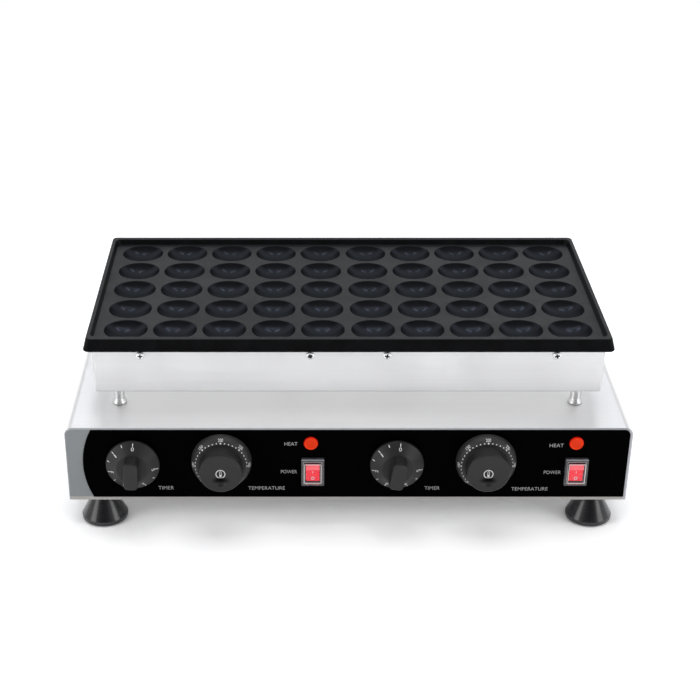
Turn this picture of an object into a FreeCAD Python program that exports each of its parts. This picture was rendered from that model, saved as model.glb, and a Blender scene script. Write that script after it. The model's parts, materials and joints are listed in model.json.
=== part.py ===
import FreeCAD, Part
import os
import math

# Counter-top mini pancake griddle: cast plate of 50 round cups on a heater
# box, four pillars, and a control base on four conical feet.
# Millimetres. +Z up, front faces -Y, origin on the floor at the centre of the
# footprint, under the middle of the baking plate.

os.makedirs("parts", exist_ok=True)

V = FreeCAD.Vector
ORIGIN = V(0, 0, 0)
X, Y, Z = V(1, 0, 0), V(0, 1, 0), V(0, 0, 1)

# ------------------------------------------------------------ driving sizes
# HW and HD are half width and half depth; _R is a radius.
# feet and base
FOOT_H = 30.0
FOOT_R_BOTTOM = 23.85
FOOT_R_TOP = 11.4
FOOT_X = 251.6
FOOT_Y_FRONT = -153.4
FOOT_Y_REAR = 122.0
BASE_HW = 285.0
BASE_Y0 = -171.0
BASE_Y1 = 145.0
BASE_Z0 = FOOT_H
BASE_Z1 = 113.3
BASE_SHEET = 1.2
BASE_FLOOR_Z = BASE_Z0 + BASE_SHEET     # upper face of the bottom cover
BASE_TOP_CORNER_R = 8.0
BASE_EDGE_R = 1.5
FLANGE_W = 14.0
OVERLAY_T = 0.6
PANEL_Y = BASE_Y0 - OVERLAY_T           # front of the panel overlay
SHEET_Y = BASE_Y0 + BASE_SHEET          # inner face of the front sheet

# heater box
HEAT_HW = 257.2
HEAT_HD = 130.0
HEAT_Z0 = 133.1
HEAT_Z1 = 184.0
HEAT_SHEET = 1.0
PILLAR_X = 234.4
PILLAR_Y = 115.0
CONDUIT_X = 60.0

# baking plate
FLOOR_Z = 188.8
RIM_Z = 194.3
SKIRT_Z = 180.8
SLAB_Z = 174.8
RIB_Z = 168.8
CUP_PITCH = 50.0
CUP_COLUMNS, CUP_ROWS = 10, 5
CUP_DEPTH = 9.5
CUP_RIM_R = 23.05
CUP_EDGE_R = 1.0
HALF_GAP = 0.5                          # extra offset of each half of the cups
PLATE_EDGE_R = 1.1
PLATE_SCREW_X = (-208.8, -38.6, 38.6, 208.8)
PLATE_SCREW_Z = 174.4
TAP_R = 2.55                            # plate holes for screws of radius 2.5
SCREW_R = 2.5

# heating elements: four straight rows a side, joined by half-circle bends
ELEMENT_R = 4.0
ELEMENT_Z = SLAB_Z - ELEMENT_R - 0.1
ELEMENT_BEND_R = 29.0
ELEMENT_ROW_Y = 3 * ELEMENT_BEND_R      # outermost rows
CLAMP_X = (-200.5, -100.5, 100.5, 200.5)
CLAMP_SCREW_Y = 2 * ELEMENT_BEND_R
CLAMP_Z0, CLAMP_Z1 = 163.3, 166.5

# controls, one group per half of the plate; X values are the left group's
GROUP_PITCH = 266.4
TIMER_X, TIMER_Z = -217.3, 74.0
THERMO_X, THERMO_Z = -127.8, 78.0
LAMP_X, LAMP_Z = -37.8, 96.9
SWITCH_X, SWITCH_Z = -35.8, 64.6
TIMER_SKIRT_R = 27.2
THERMO_SKIRT_R = 30.4
KNOB_BACK_Y = -173.8
TIMER_FRONT_Y = -201.3
THERMO_FRONT_Y = -200.2
CONTROL_SCREW_DX = 14.0
SHAFT_R = 3.0
RUN_CLEAR = 0.05
TIMER_HUB_R, TIMER_HUB_H = 15.8, 11.6
THERMO_DIAL_H = 11.8
TIMER_REST_TURN = {"left": 2.0, "right": 9.0}
ROCKER_REST_TILT = 9.0
ROCKER_AXIS_Z = 1.4                     # in front of the panel face
SWITCH_RIM = 4.6
LAMP_R = 7.2

# mains entry and lead
CORD_R = 4.0
GLAND_X, GLAND_Z = 205.0, 62.0
REAR_Y = 201.3
TERMINAL_X, TERMINAL_Y = 200.0, 84.0
TERMINAL_PITCH = 10.4
TERMINAL_BORE_Z = BASE_FLOOR_Z + 11.5
EARTH_X, EARTH_Y = 150.0, 118.0
PLUG_R, PLUG_X, PLUG_Y = 17.6, -172.0, 181.5
PLUG_Z = PLUG_R + 0.4


def corner_places(half_x, front_y, rear_y):
    return {"front_left": (-half_x, front_y), "front_right": (half_x, front_y),
            "rear_left": (-half_x, rear_y), "rear_right": (half_x, rear_y)}


FEET = corner_places(FOOT_X, FOOT_Y_FRONT, FOOT_Y_REAR)
PILLARS = corner_places(PILLAR_X, -PILLAR_Y, PILLAR_Y)
CONDUITS = [(-CONDUIT_X, 0), (CONDUIT_X, 0)]
CLAMP_SCREWS = [(x, y) for x in CLAMP_X for y in (-CLAMP_SCREW_Y, CLAMP_SCREW_Y)]
SIGN = {"left": -1, "right": 1}
SHIFT = {"left": 0.0, "right": GROUP_PITCH}

COVER_SCREW_INSET = BASE_SHEET + 7.0
COVER_SCREWS = [(sign * (BASE_HW - COVER_SCREW_INSET), y)
                for sign in (-1, 1) for y in (-100.0, -12.0, 76.0)]
COVER_SCREWS += [(x, y) for x in (-150.0, 0.0, 150.0)
                 for y in (BASE_Y0 + COVER_SCREW_INSET, BASE_Y1 - COVER_SCREW_INSET)]


# ------------------------------------------------------------ helpers
def save(name, shape):
    shape.exportStep("parts/%s.step" % name)


def line(a, b):
    return Part.LineSegment(V(a), V(b)).toShape()


def arc(a, middle, b):
    return Part.Arc(V(a), V(middle), V(b)).toShape()


def corner_inset(r):
    """Distance along each axis from a square corner to the middle of its rounding."""
    return r * (1 - math.sqrt(0.5))


def box(x0, x1, y0, y1, z0, z1):
    return Part.makeBox(x1 - x0, y1 - y0, z1 - z0, V(x0, y0, z0))


def cyl(r, start, direction, length):
    return Part.makeCylinder(r, length, start, direction)


def holes(r, places, z, depth):
    """Upright cylinders at (x, y) places, for cutting."""
    return [cyl(r, V(x, y, z), Z, depth) for x, y in places]


def rect_wire(half_x, half_y, r, z, centre_x=0.0, centre_y=0.0):
    """Rounded rectangle in a horizontal plane."""
    x0, x1 = centre_x - half_x, centre_x + half_x
    y0, y1 = centre_y - half_y, centre_y + half_y
    k = corner_inset(r)
    runs = [((x0 + r, y0), (x1 - r, y0)), ((x1, y0 + r), (x1, y1 - r)),
            ((x1 - r, y1), (x0 + r, y1)), ((x0, y1 - r), (x0, y0 + r))]
    middles = [(x1 - k, y0 + k), (x1 - k, y1 - k), (x0 + k, y1 - k), (x0 + k, y0 + k)]
    edges = []
    for i in range(4):
        start, end = runs[i]
        following = runs[(i + 1) % 4][0]
        edges.append(line((*start, z), (*end, z)))
        edges.append(arc((*end, z), (*middles[i], z), (*following, z)))
    return Part.Wire(edges)


def prism(half_x, half_y, r, z0, z1, centre_x=0.0, centre_y=0.0):
    face = Part.Face(rect_wire(half_x, half_y, r, z0, centre_x, centre_y))
    return face.extrude(V(0, 0, z1 - z0))


def taper(lower, upper):
    """Loft between two rounded rectangles, each (half_x, half_y, r, z)."""
    return Part.makeLoft([rect_wire(*lower), rect_wire(*upper)], True, True)


def outward(solid):
    """Turn an inside-out solid the right way round."""
    if solid.Volume < 0:
        solid.reverse()
    return solid


def spin(profile):
    """Solid turned about +Z from (r, z) points; a 3-tuple of points is an
    arc (start, middle, end). Straight lines fill the gaps and close it."""
    edges = []
    last = None
    for item in profile:
        stops = item if isinstance(item[0], tuple) else (item,)
        stops = [V(r, 0, z) for r, z in stops]
        if last is None:
            first = stops[0]
        elif last.distanceToPoint(stops[0]) > 1e-6:
            edges.append(line(last, stops[0]))
        if len(stops) == 3:
            edges.append(arc(*stops))
        last = stops[-1]
    edges.append(line(last, first))
    return outward(Part.Face(Part.Wire(edges)).revolve(ORIGIN, Z, 360))


def at(shape, x, y, z):
    moved = shape.copy()
    moved.translate(V(x, y, z))
    return moved


def turned(shape, axis, angle):
    copy = shape.copy()
    copy.rotate(ORIGIN, axis, angle)
    return copy


def face_front(shape, x, y, z):
    """Point a shape's +Z to the front and its +Y up, then place it."""
    return at(turned(shape, X, 90), x, y, z)


def fillet(shape, r, pick):
    return shape.makeFillet(r, [e for e in shape.Edges if pick(e)])


def flat_at(z):
    """Edge selector: edges starting at height z or above it by a hair."""
    return lambda e: abs(e.BoundBox.ZMin - z) < 1e-3


def topping_at(z):
    """Edge selector: edges whose highest point is at z."""
    return lambda e: abs(e.BoundBox.ZMax - z) < 1e-3


def group(solids):
    return Part.makeCompound(solids)


def copies(shape, places, z):
    return group([at(shape, x, y, z) for x, y in places])


def one(shape):
    """Merge coplanar faces and return the single solid."""
    merged = shape.removeSplitter()
    return merged.Solids[0] if len(merged.Solids) == 1 else merged


def sweep_circle(edges, r):
    start = edges[0].FirstParameter
    circle = Part.Circle(edges[0].valueAt(start), edges[0].tangentAt(start), r)
    return Part.Wire(edges).makePipeShell([Part.Wire(circle.toShape())], True, False)


def pipe(edges, r):
    """Round rod along a path of lines and arcs."""
    return outward(sweep_circle(edges, r))


def routed(r, bend, start, *legs):
    """Round rod from start through legs such as ("y", 5.0), each naming the
    coordinates that change and their new values. Corners get tangent bends."""
    spot = dict(zip("xyz", start))
    points = [V(*start)]
    for axes, *values in legs:
        spot.update(zip(axes, values))
        points.append(V(*spot.values()))
    edges = []
    last = points[0]
    for before, corner, after in zip(points, points[1:], points[2:]):
        u = (corner - before).normalize()
        v = (after - corner).normalize()
        turn = u.getAngle(v)
        setback = bend * math.tan(turn / 2)
        a, b = corner - u * setback, corner + v * setback
        inward = (v - u).normalize()
        middle = corner + inward * (bend / math.cos(turn / 2) - bend)
        if last.distanceToPoint(a) > 1e-6:
            edges.append(line(last, a))
        edges.append(arc(a, middle, b))
        last = b
    edges.append(line(last, points[-1]))
    return pipe(edges, r)


def pan_screw(head_r, head_h, shank_r, shank_l, recess=True):
    """Pan-head screw, head outwards along +Z from z=0."""
    shoulder = head_r * 0.72
    screw = spin([(0, -shank_l), (shank_r - 0.3, -shank_l), (shank_r, -shank_l + 0.5),
                  (shank_r, 0), (head_r, 0),
                  ((head_r, head_h * 0.35), (head_r * 0.9, head_h * 0.78),
                   (shoulder, head_h * 0.95)),
                  ((shoulder, head_h * 0.95), (shoulder * 0.6, head_h * 0.985),
                   (shoulder * 0.3, head_h)),
                  (0, head_h)])
    if recess:
        half_w, half_l = head_r * 0.13, head_r * 0.575
        z0, z1 = head_h * 0.38, head_h + 1
        cross = box(-half_l, half_l, -half_w, half_w, z0, z1)
        cross = cross.fuse(box(-half_w, half_w, -half_l, half_l, z0, z1))
        screw = screw.cut(cross).Solids[0]
    return screw


def hex_nut(across_flats, h, hole_r):
    corner_r = across_flats / math.sqrt(3)
    points = []
    for i in range(7):
        angle = math.radians(60 * i + 30)
        points.append(V(corner_r * math.cos(angle), corner_r * math.sin(angle), 0))
    nut = Part.Face(Part.makePolygon(points)).extrude(V(0, 0, h))
    end_r, mid_r = across_flats / 2 * 1.02, corner_r + 0.3
    chamfer = spin([(0, -0.01), (end_r, -0.01), (mid_r, h * 0.22), (mid_r, h * 0.78),
                    (end_r, h + 0.01), (0, h + 0.01)])
    nut = nut.common(chamfer)
    return nut.cut(cyl(hole_r, V(0, 0, -1), Z, h + 2)).Solids[0]


# ------------------------------------------------------------ baking plate
def polar(centre, r, angle):
    return (centre[0] + r * math.cos(angle), centre[1] + r * math.sin(angle))


def cup_cutter():
    """Spherical dish whose rounded edge meets the plate floor at CUP_RIM_R."""
    sphere_r = (CUP_RIM_R ** 2 + (CUP_EDGE_R - CUP_DEPTH) ** 2
                - CUP_EDGE_R ** 2) / (2 * CUP_DEPTH)
    sphere = (0, FLOOR_Z - CUP_DEPTH + sphere_r)
    edge = (CUP_RIM_R, FLOOR_Z - CUP_EDGE_R)
    # direction from the sphere centre to the edge centre and their tangent point
    lean = math.atan2(edge[1] - sphere[1], edge[0])
    tangent = polar(sphere, sphere_r, lean)
    dish_middle = polar(sphere, sphere_r, (lean - math.pi / 2) / 2)
    edge_middle = polar(edge, CUP_EDGE_R, (lean + math.pi + math.pi / 2) / 2)
    return spin([((0, FLOOR_Z - CUP_DEPTH), dish_middle, tangent),
                 (tangent, edge_middle, (CUP_RIM_R, FLOOR_Z)),
                 (CUP_RIM_R, FLOOR_Z + 1.0), (0, FLOOR_Z + 1.0)])


def plate_screw_holes(r, start_y, depth):
    """Holes running inwards from the front and the rear."""
    return [cyl(r, V(x, sign * start_y, PLATE_SCREW_Z), V(0, -sign, 0), depth)
            for x in PLATE_SCREW_X for sign in (-1, 1)]


def plate_edge(e):
    """Rim edges on top and the outer bottom edges of the skirt."""
    b = e.BoundBox
    top = abs(b.ZMin - RIM_Z) < 1e-3 and abs(b.ZMax - RIM_Z) < 1e-3
    bottom = abs(b.ZMin - SKIRT_Z) < 1e-3 and abs(b.ZMax - SKIRT_Z) < 1e-3
    outside = (max(abs(b.XMax), abs(b.XMin)) > 264
               or max(abs(b.YMax), abs(b.YMin)) > 136.5)
    return top or (bottom and outside)


def baking_plate():
    plate = taper((266.0, 137.0, 6.5, SKIRT_Z), (262.4, 134.6, 5.5, RIM_Z))
    recess = taper((256.3, 125.8, 5.0, FLOOR_Z), (258.8, 128.2, 6.5, RIM_Z))
    recess = recess.fuse(prism(258.8, 128.2, 6.5, RIM_Z, RIM_Z + 3))
    # hollow the skirt, add the slab with its rib, then open the underside
    plate = plate.cut(prism(261.6, 134.0, 4.0, SKIRT_Z - 1, HEAT_Z1 + 0.3))
    plate = plate.fuse(prism(255.9, 128.7, 2.0, RIB_Z, FLOOR_Z - 0.5))
    plate = plate.cut(recess)
    plate = plate.cut(prism(244.0, 117.0, 4.0, RIB_Z - 1, SLAB_Z))
    plate = fillet(one(plate), PLATE_EDGE_R, plate_edge)
    cup = cup_cutter()
    for i in range(CUP_COLUMNS):
        column = i - (CUP_COLUMNS - 1) / 2
        x = column * CUP_PITCH + math.copysign(HALF_GAP, column)
        for j in range(CUP_ROWS):
            plate = plate.cut(at(cup, x, (j - CUP_ROWS // 2) * CUP_PITCH, 0))
    bores = plate_screw_holes(TAP_R, start_y=129.5, depth=11.5)
    bores += holes(TAP_R, CLAMP_SCREWS, SLAB_Z - 1, 9.0)
    return plate.cut(group(bores)).Solids[0]


save("baking_plate", baking_plate())


# ------------------------------------------------------------ heater box
def heater_housing():
    """Open-topped sheet tray."""
    t = HEAT_SHEET
    outer = prism(HEAT_HW, HEAT_HD, 2.6, HEAT_Z0, HEAT_Z1)
    outer = fillet(outer, 1.8, topping_at(HEAT_Z0))
    inner = prism(HEAT_HW - t, HEAT_HD - t, 1.6, HEAT_Z0 + t, HEAT_Z1 + 1)
    inner = fillet(inner, 0.8, topping_at(HEAT_Z0 + t))
    cuts = plate_screw_holes(2.75, start_y=HEAT_HD + 2, depth=5)
    cuts += holes(3.2, PILLARS.values(), HEAT_Z0 - 2, 6)
    cuts += holes(10.1, CONDUITS, HEAT_Z0 - 2, 6)
    return outer.cut(inner).cut(group(cuts)).Solids[0]


def plate_fixing_screws():
    front = face_front(pan_screw(4.35, 2.7, SCREW_R, 11.0), 0, 0, 0)
    rear = turned(front, Z, 180)
    screws = []
    for x in PLATE_SCREW_X:
        screws.append(at(front, x, -HEAT_HD, PLATE_SCREW_Z))
        screws.append(at(rear, x, HEAT_HD, PLATE_SCREW_Z))
    return group(screws)


def insulation_pad():
    z0 = HEAT_Z0 + HEAT_SHEET + 0.1
    pad = prism(254.0, 127.0, 3.0, z0, 152.2)
    cuts = holes(9.0, PILLARS.values(), z0 - 1, 30) + holes(12.0, CONDUITS, z0 - 1, 30)
    return pad.cut(group(cuts)).Solids[0]


def heat_reflector():
    """Shallow tray above the insulation."""
    hw, hd, t, z0 = 252.0, 125.0, 0.8, 152.3
    tray = prism(hw, hd, 2.0, z0, 164.0)
    tray = tray.cut(prism(hw - t, hd - t, 1.2, z0 + t, 165.0))
    return tray.cut(group(holes(12.0, CONDUITS, 150, 6))).Solids[0]


save("heater_housing", heater_housing())
save("plate_fixing_screws", plate_fixing_screws())
save("insulation_pad", insulation_pad())
save("heat_reflector", heat_reflector())


# ------------------------------------------------------------ heating elements
def heating_element(sign):
    """Serpentine rod with a thin pin at each end, towards the middle."""
    z, r = ELEMENT_Z, ELEMENT_BEND_R
    end_x, inner_x, outer_x = sign * 20.0, sign * 45.0, sign * 206.0
    reach = sign * r

    def bend(x, bulge, y0, y1):
        return arc((x, y0, z), (x + bulge, (y0 + y1) / 2, z), (x, y1, z))

    edges = [
        line((end_x, -3 * r, z), (outer_x, -3 * r, z)),
        bend(outer_x, reach, -3 * r, -r),
        line((outer_x, -r, z), (inner_x, -r, z)),
        bend(inner_x, -reach, -r, r),
        line((inner_x, r, z), (outer_x, r, z)),
        bend(outer_x, reach, r, 3 * r),
        line((outer_x, 3 * r, z), (end_x, 3 * r, z)),
    ]
    element = pipe(edges, ELEMENT_R)
    for y in (-ELEMENT_ROW_Y, ELEMENT_ROW_Y):
        element = element.fuse(cyl(1.5, V(end_x + sign * 6, y, z), V(-sign, 0, 0), 13.0))
    return one(element)


def clamp_bars():
    bars = []
    for x in CLAMP_X:
        bar = box(x - 8, x + 8, -102, 102, CLAMP_Z0, CLAMP_Z1)
        for y in (-CLAMP_SCREW_Y, CLAMP_SCREW_Y):
            bar = bar.cut(cyl(3.0, V(x, y, 160), Z, 10))
        bars.append(bar)
    return group(bars)


for side, sign in SIGN.items():
    save("heating_element_" + side, heating_element(sign))
save("element_clamp_bars", clamp_bars())
clamp_screw = turned(pan_screw(4.6, 3.0, SCREW_R, 18.0, recess=False), X, 180)
save("element_clamp_screws", copies(clamp_screw, CLAMP_SCREWS, CLAMP_Z0))


# ------------------------------------------------------------ pillars, conduits
def support_pillar():
    z, bore_r, post_r = BASE_Z1, 3.15, 5.5
    return spin([(bore_r, z), ((6.9, z), (7.5, z + 0.9), (7.5, z + 2.0)),
                 ((7.5, z + 2.0), (7.1, z + 3.2), (6.3, z + 4.2)),
                 ((6.3, z + 4.2), (5.7, z + 5.2), (post_r, z + 6.6)),
                 (post_r, HEAT_Z0), (bore_r, HEAT_Z0)])


BOLT_SHANK = 31.5


def pillar_bolt():
    """Socket-head bolt, head up, shank foot at z=0."""
    return spin([(0, 0), (3.0, 0), (3.0, BOLT_SHANK), (5.2, BOLT_SHANK),
                 ((5.2, 34.6), (4.9, 35.3), (4.2, 35.5)), (2.4, 35.5), (2.4, 33.3), (0, 33.3)])


def wire_conduit():
    """Tube from base to heater box, with a flange against each."""
    bore_r, tube_r, flange_r = 8.4, 10.0, 14.0
    z0, z1 = BASE_Z1, HEAT_Z0
    return spin([(bore_r, 107.0), (tube_r, 107.0), (tube_r, z0), (flange_r, z0),
                 (flange_r, z0 + 1.6), (tube_r, z0 + 2.4), (tube_r, z1 - 2.4),
                 (flange_r, z1 - 1.6), (flange_r, z1), (tube_r, z1),
                 (tube_r, 139.0), (bore_r, 139.0)])


for name, (x, y) in PILLARS.items():
    save("support_pillar_" + name, at(support_pillar(), x, y, 0))
save("pillar_bolts",
     copies(pillar_bolt(), PILLARS.values(), HEAT_Z0 + HEAT_SHEET - BOLT_SHANK))
PILLAR_NUT_H = 5.0
save("pillar_nuts", copies(hex_nut(10.0, PILLAR_NUT_H, 3.05), PILLARS.values(),
                           BASE_Z1 - BASE_SHEET - PILLAR_NUT_H))
for side, sign in SIGN.items():
    save("wire_conduit_" + side, at(wire_conduit(), sign * CONDUIT_X, 0, 0))


# ------------------------------------------------------------ base
def arch(hw, z0, z1, r, y0, y1):
    """Block with rounded top corners, extruded front to back."""
    k = corner_inset(r)
    edges = [
        line((-hw, y0, z0), (hw, y0, z0)),
        line((hw, y0, z0), (hw, y0, z1 - r)),
        arc((hw, y0, z1 - r), (hw - k, y0, z1 - k), (hw - r, y0, z1)),
        line((hw - r, y0, z1), (-hw + r, y0, z1)),
        arc((-hw + r, y0, z1), (-hw + k, y0, z1 - k), (-hw, y0, z1 - r)),
        line((-hw, y0, z1 - r), (-hw, y0, z0)),
    ]
    return outward(Part.Face(Part.Wire(edges)).extrude(V(0, y1 - y0, 0)))


def shell_rim_edge(e):
    """Edges round the front and rear faces, except along the bottom."""
    b = e.BoundBox
    on_end = abs(b.YMax - BASE_Y0) < 1e-3 or abs(b.YMin - BASE_Y1) < 1e-3
    return on_end and b.ZMax > BASE_Z0 + 1


def panel_cutouts():
    """Openings for the controls, through overlay and front sheet."""
    def hole(r, x, z):
        return cyl(r, V(x, PANEL_Y - 2, z), Y, 6)

    cuts = []
    for shift in SHIFT.values():
        for x, z in ((TIMER_X + shift, TIMER_Z), (THERMO_X + shift, THERMO_Z)):
            cuts.append(hole(4.0, x, z))
            cuts += [hole(1.6, x + sign * CONTROL_SCREW_DX, z) for sign in (-1, 1)]
        cuts.append(hole(6.05, LAMP_X + shift, LAMP_Z))
        x = SWITCH_X + shift
        cuts.append(box(x - 9.5, x + 9.5, PANEL_Y - 2, PANEL_Y + 4,
                        SWITCH_Z - 13.5, SWITCH_Z + 13.5))
    return group(cuts)


def base_housing():
    """Sheet box open below, with an inward flange above the bottom cover."""
    t = BASE_SHEET
    outer = arch(BASE_HW, BASE_Z0, BASE_Z1, BASE_TOP_CORNER_R, BASE_Y0, BASE_Y1)
    outer = fillet(outer, BASE_EDGE_R, shell_rim_edge)
    inner = arch(BASE_HW - t, BASE_Z0 - 5, BASE_Z1 - t, BASE_TOP_CORNER_R - t,
                 BASE_Y0 + t, BASE_Y1 - t)
    shell = outer.cut(inner)
    overlap = 0.5       # how far the flange starts inside the wall's outer face
    flange = box(-BASE_HW + overlap, BASE_HW - overlap,
                 BASE_Y0 + overlap, BASE_Y1 - overlap, BASE_FLOOR_Z, BASE_FLOOR_Z + t)
    inset = t + FLANGE_W
    flange = flange.cut(box(-BASE_HW + inset, BASE_HW - inset,
                            BASE_Y0 + inset, BASE_Y1 - inset, 0, 100))
    flange = flange.cut(group(holes(11.0, FEET.values(), BASE_Z0 - 1, 8)))
    shell = shell.fuse(flange)
    cuts = holes(1.95, COVER_SCREWS, BASE_Z0 - 1, 6)
    cuts += holes(3.2, PILLARS.values(), BASE_Z1 - 4, 8)
    cuts += holes(10.1, CONDUITS, BASE_Z1 - 4, 8)
    cuts.append(cyl(8.1, V(GLAND_X, BASE_Y1 - 5, GLAND_Z), Y, 10))
    # row of upright slots in the rear sheet
    for k in range(12):
        x = -150.0 + 12.0 * k
        cuts.append(box(x - 1.6, x + 1.6, BASE_Y1 - 4, BASE_Y1 + 4, 58.0, 88.0))
    return one(shell.cut(group(cuts)).cut(panel_cutouts()))


def bottom_cover():
    gap = BASE_SHEET + 0.3
    cover = prism(BASE_HW - gap, (BASE_Y1 - BASE_Y0) / 2 - gap, 1.0,
                  BASE_Z0, BASE_FLOOR_Z, 0, (BASE_Y0 + BASE_Y1) / 2)
    below = BASE_Z0 - 1
    cuts = holes(2.1, COVER_SCREWS, below, 4) + holes(4.1, FEET.values(), below, 4)
    # two banks of nine slots
    for x in (-130.0, 110.0):
        for k in range(9):
            cuts.append(prism(30.0, 1.7, 1.6, below, BASE_Z0 + 3, x, -40.0 + 10.0 * k))
    cuts += holes(2.6, [(EARTH_X, EARTH_Y)], below, 4)
    cuts += holes(1.6, [(TERMINAL_X + dx, TERMINAL_Y) for dx in (-14.0, 14.0)], below, 4)
    return cover.cut(group(cuts)).Solids[0]


def control_panel_overlay():
    """Thin panel with a bowed left end and a rounded upper right corner."""
    y, z0, z1 = PANEL_Y, 33.7, 111.7
    top_left, bow_x, bottom_left, right = -258.2, -268.0, -259.2, 281.9
    r = 6.5
    k = corner_inset(r)
    edges = [
        arc((top_left, y, z1), (bow_x, y, 76.5), (bottom_left, y, z0)),
        line((bottom_left, y, z0), (right, y, z0)),
        line((right, y, z0), (right, y, z1 - r)),
        arc((right, y, z1 - r), (right - k, y, z1 - k), (right - r, y, z1)),
        line((right - r, y, z1), (top_left, y, z1)),
    ]
    overlay = outward(Part.Face(Part.Wire(edges)).extrude(V(0, OVERLAY_T, 0)))
    return overlay.cut(panel_cutouts()).Solids[0]


save("base_housing", base_housing())
save("base_bottom_cover", bottom_cover())
cover_screw = turned(pan_screw(3.6, 2.0, 1.9, 5.0), X, 180)
save("bottom_cover_screws", copies(cover_screw, COVER_SCREWS, BASE_Z0))
save("control_panel_overlay", control_panel_overlay())


# ------------------------------------------------------------ feet
def foot():
    """Cone with a blind stud hole from the top."""
    return spin([(0, 0), ((21.4, 0), (23.2, 0.9), (FOOT_R_BOTTOM, 2.7)),
                 ((FOOT_R_BOTTOM, 5.0), (23.7, 5.7), (23.4, 6.3)),
                 ((FOOT_R_TOP, 28.9), (11.0, 29.7), (10.2, FOOT_H)),
                 (4.1, FOOT_H), (4.1, 12.0), (0, 12.0)])


for name, (x, y) in FEET.items():
    save("foot_" + name, at(foot(), x, y, 0))
foot_stud = spin([(0, 13.0), (4.0, 13.0), (4.0, 41.5), (3.5, 42.0), (0, 42.0)])
save("foot_studs", copies(foot_stud, FEET.values(), 0))
save("foot_nuts", copies(hex_nut(13.0, 6.5, 4.05), FEET.values(), BASE_FLOOR_Z))


# ------------------------------------------------------------ controls
# All drawn with +Z pointing out of the panel and +Y up. Bodies and shafts
# have z=0 on the inner face of the front sheet, the rest on the panel face.
BORE_R = SHAFT_R + RUN_CLEAR


def control_body(case, blade_x, blade_y, blade_z0, blade_z1):
    """Case with a neck round the shaft, blades behind and two screw holes."""
    body = case.fuse(cyl(3.9, ORIGIN, Z, 1.5))
    body = body.cut(cyl(BORE_R, V(0, 0, -20), Z, 30))
    for x in blade_x:
        body = body.fuse(box(x - 3.2, x + 3.2, blade_y, blade_y + 0.8, blade_z0, blade_z1))
    for sign in (-1, 1):
        body = body.cut(cyl(1.55, V(sign * CONTROL_SCREW_DX, 0, -8.0), Z, 10))
    return one(body)


def timer_body():
    case = prism(23.0, 24.0, 4.0, -30.0, 0.0)
    return control_body(case, (-12, 0, 12), -0.4, -38.0, -30.0)


def thermo_body():
    case = prism(21.0, 22.0, 2.0, -22.0, 0.0)
    case = case.fuse(cyl(17.0, V(0, 0, -28.0), Z, 7.0))
    return control_body(case, (-13, 13), -19.0, -30.0, -21.5)


def shaft(knob_front_y):
    """Round spindle with a flat, from inside the body into the knob."""
    length = (SHEET_Y - knob_front_y) - 6.0
    spindle = cyl(SHAFT_R, V(0, 0, -18.0), Z, 18.0 + length)
    return spindle.cut(box(-4, 4, 1.6, 5, length - 12.0, length + 1)).Solids[0]


def shaft_bore(back, front):
    return cyl(BORE_R, V(0, 0, back - 1), Z, (front - 5.0) - (back - 1))


def timer_knob():
    """Conical dial skirt, flat hub and a bar grip across it."""
    front = PANEL_Y - TIMER_FRONT_Y
    back = PANEL_Y - KNOB_BACK_Y
    r, hub_r = TIMER_SKIRT_R, TIMER_HUB_R
    hub = back + TIMER_HUB_H
    knob = spin([(0, back), (r, back),
                 ((r, back + 2.4), (r - 0.25, back + 3.0), (r - 0.8, back + 3.5)),
                 ((hub_r + 0.5, hub - 0.35), (hub_r, hub - 0.08), (hub_r - 0.5, hub)),
                 (0, hub)])
    grip = taper((7.45, 15.3, 4.4, hub - 3.0), (7.05, 14.8, 4.4, front))
    grip = fillet(grip, 1.1, flat_at(front))
    knob = one(knob.fuse(grip))
    # hollow back around the shaft boss
    knob = knob.cut(spin([(8.0, back - 1), (r - 1.8, back - 1), (r - 1.8, back + 1.6),
                          (15.0, hub - 2.6), (8.0, hub - 2.6)]))
    return knob.cut(shaft_bore(back, front)).Solids[0]


def thermo_knob():
    """Deep rounded dial skirt with a round grip and a finger dimple."""
    front = PANEL_Y - THERMO_FRONT_Y
    back = PANEL_Y - KNOB_BACK_Y
    r = THERMO_SKIRT_R
    dial = back + THERMO_DIAL_H
    knob = spin([(0, back), (r, back),
                 ((r, back + 2.6), (r - 1.7, back + 8.0), (r - 5.2, dial)),
                 ((23.2, dial), (22.75, dial + 0.2), (22.5, dial + 0.8)),
                 ((21.6, front - 1.6), (21.1, front - 0.45), (19.9, front)),
                 ((19.9, front), (10.5, front - 0.722), (0, front - 1.0))])
    knob = knob.cut(Part.makeSphere(9.0, V(0, -9.6, front - 1.0 + 7.35)))
    # hollow back around the shaft boss
    knob = knob.cut(spin([(8.0, back - 1), (r - 1.9, back - 1), (r - 1.9, back + 2.4),
                          (r - 5.6, dial - 2.2), (20.0, dial - 2.2),
                          (20.0, front - 6.0), (8.0, front - 6.0)]))
    return one(knob.cut(shaft_bore(back, front)))


def lamp_lens():
    r = LAMP_R
    lens = spin([(0, 0), (r, 0), ((r, 0.7), (r - 0.35, 1.7), (r - 0.85, 2.3)),
                 ((r - 0.85, 2.3), (r - 2.6, 2.8), (r - 4.6, 3.0)), (0, 3.0)])
    return one(lens.fuse(cyl(4.0, V(0, 0, -9.0), Z, 9.5)))


def lamp_body():
    """Waisted holder with two blades behind."""
    body = cyl(5.95, V(0, 0, -24.0), Z, 24.0).cut(cyl(4.1, V(0, 0, -12.0), Z, 13.0))
    body = body.cut(spin([(5.6, -20.0), (7, -20.0), (7, -2.6), (5.6, -2.6)]))
    for y in (-3.0, 3.0):
        body = body.fuse(box(-2.4, 2.4, y - 0.3, y + 0.3, -33.0, -23.0))
    return one(body)


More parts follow.
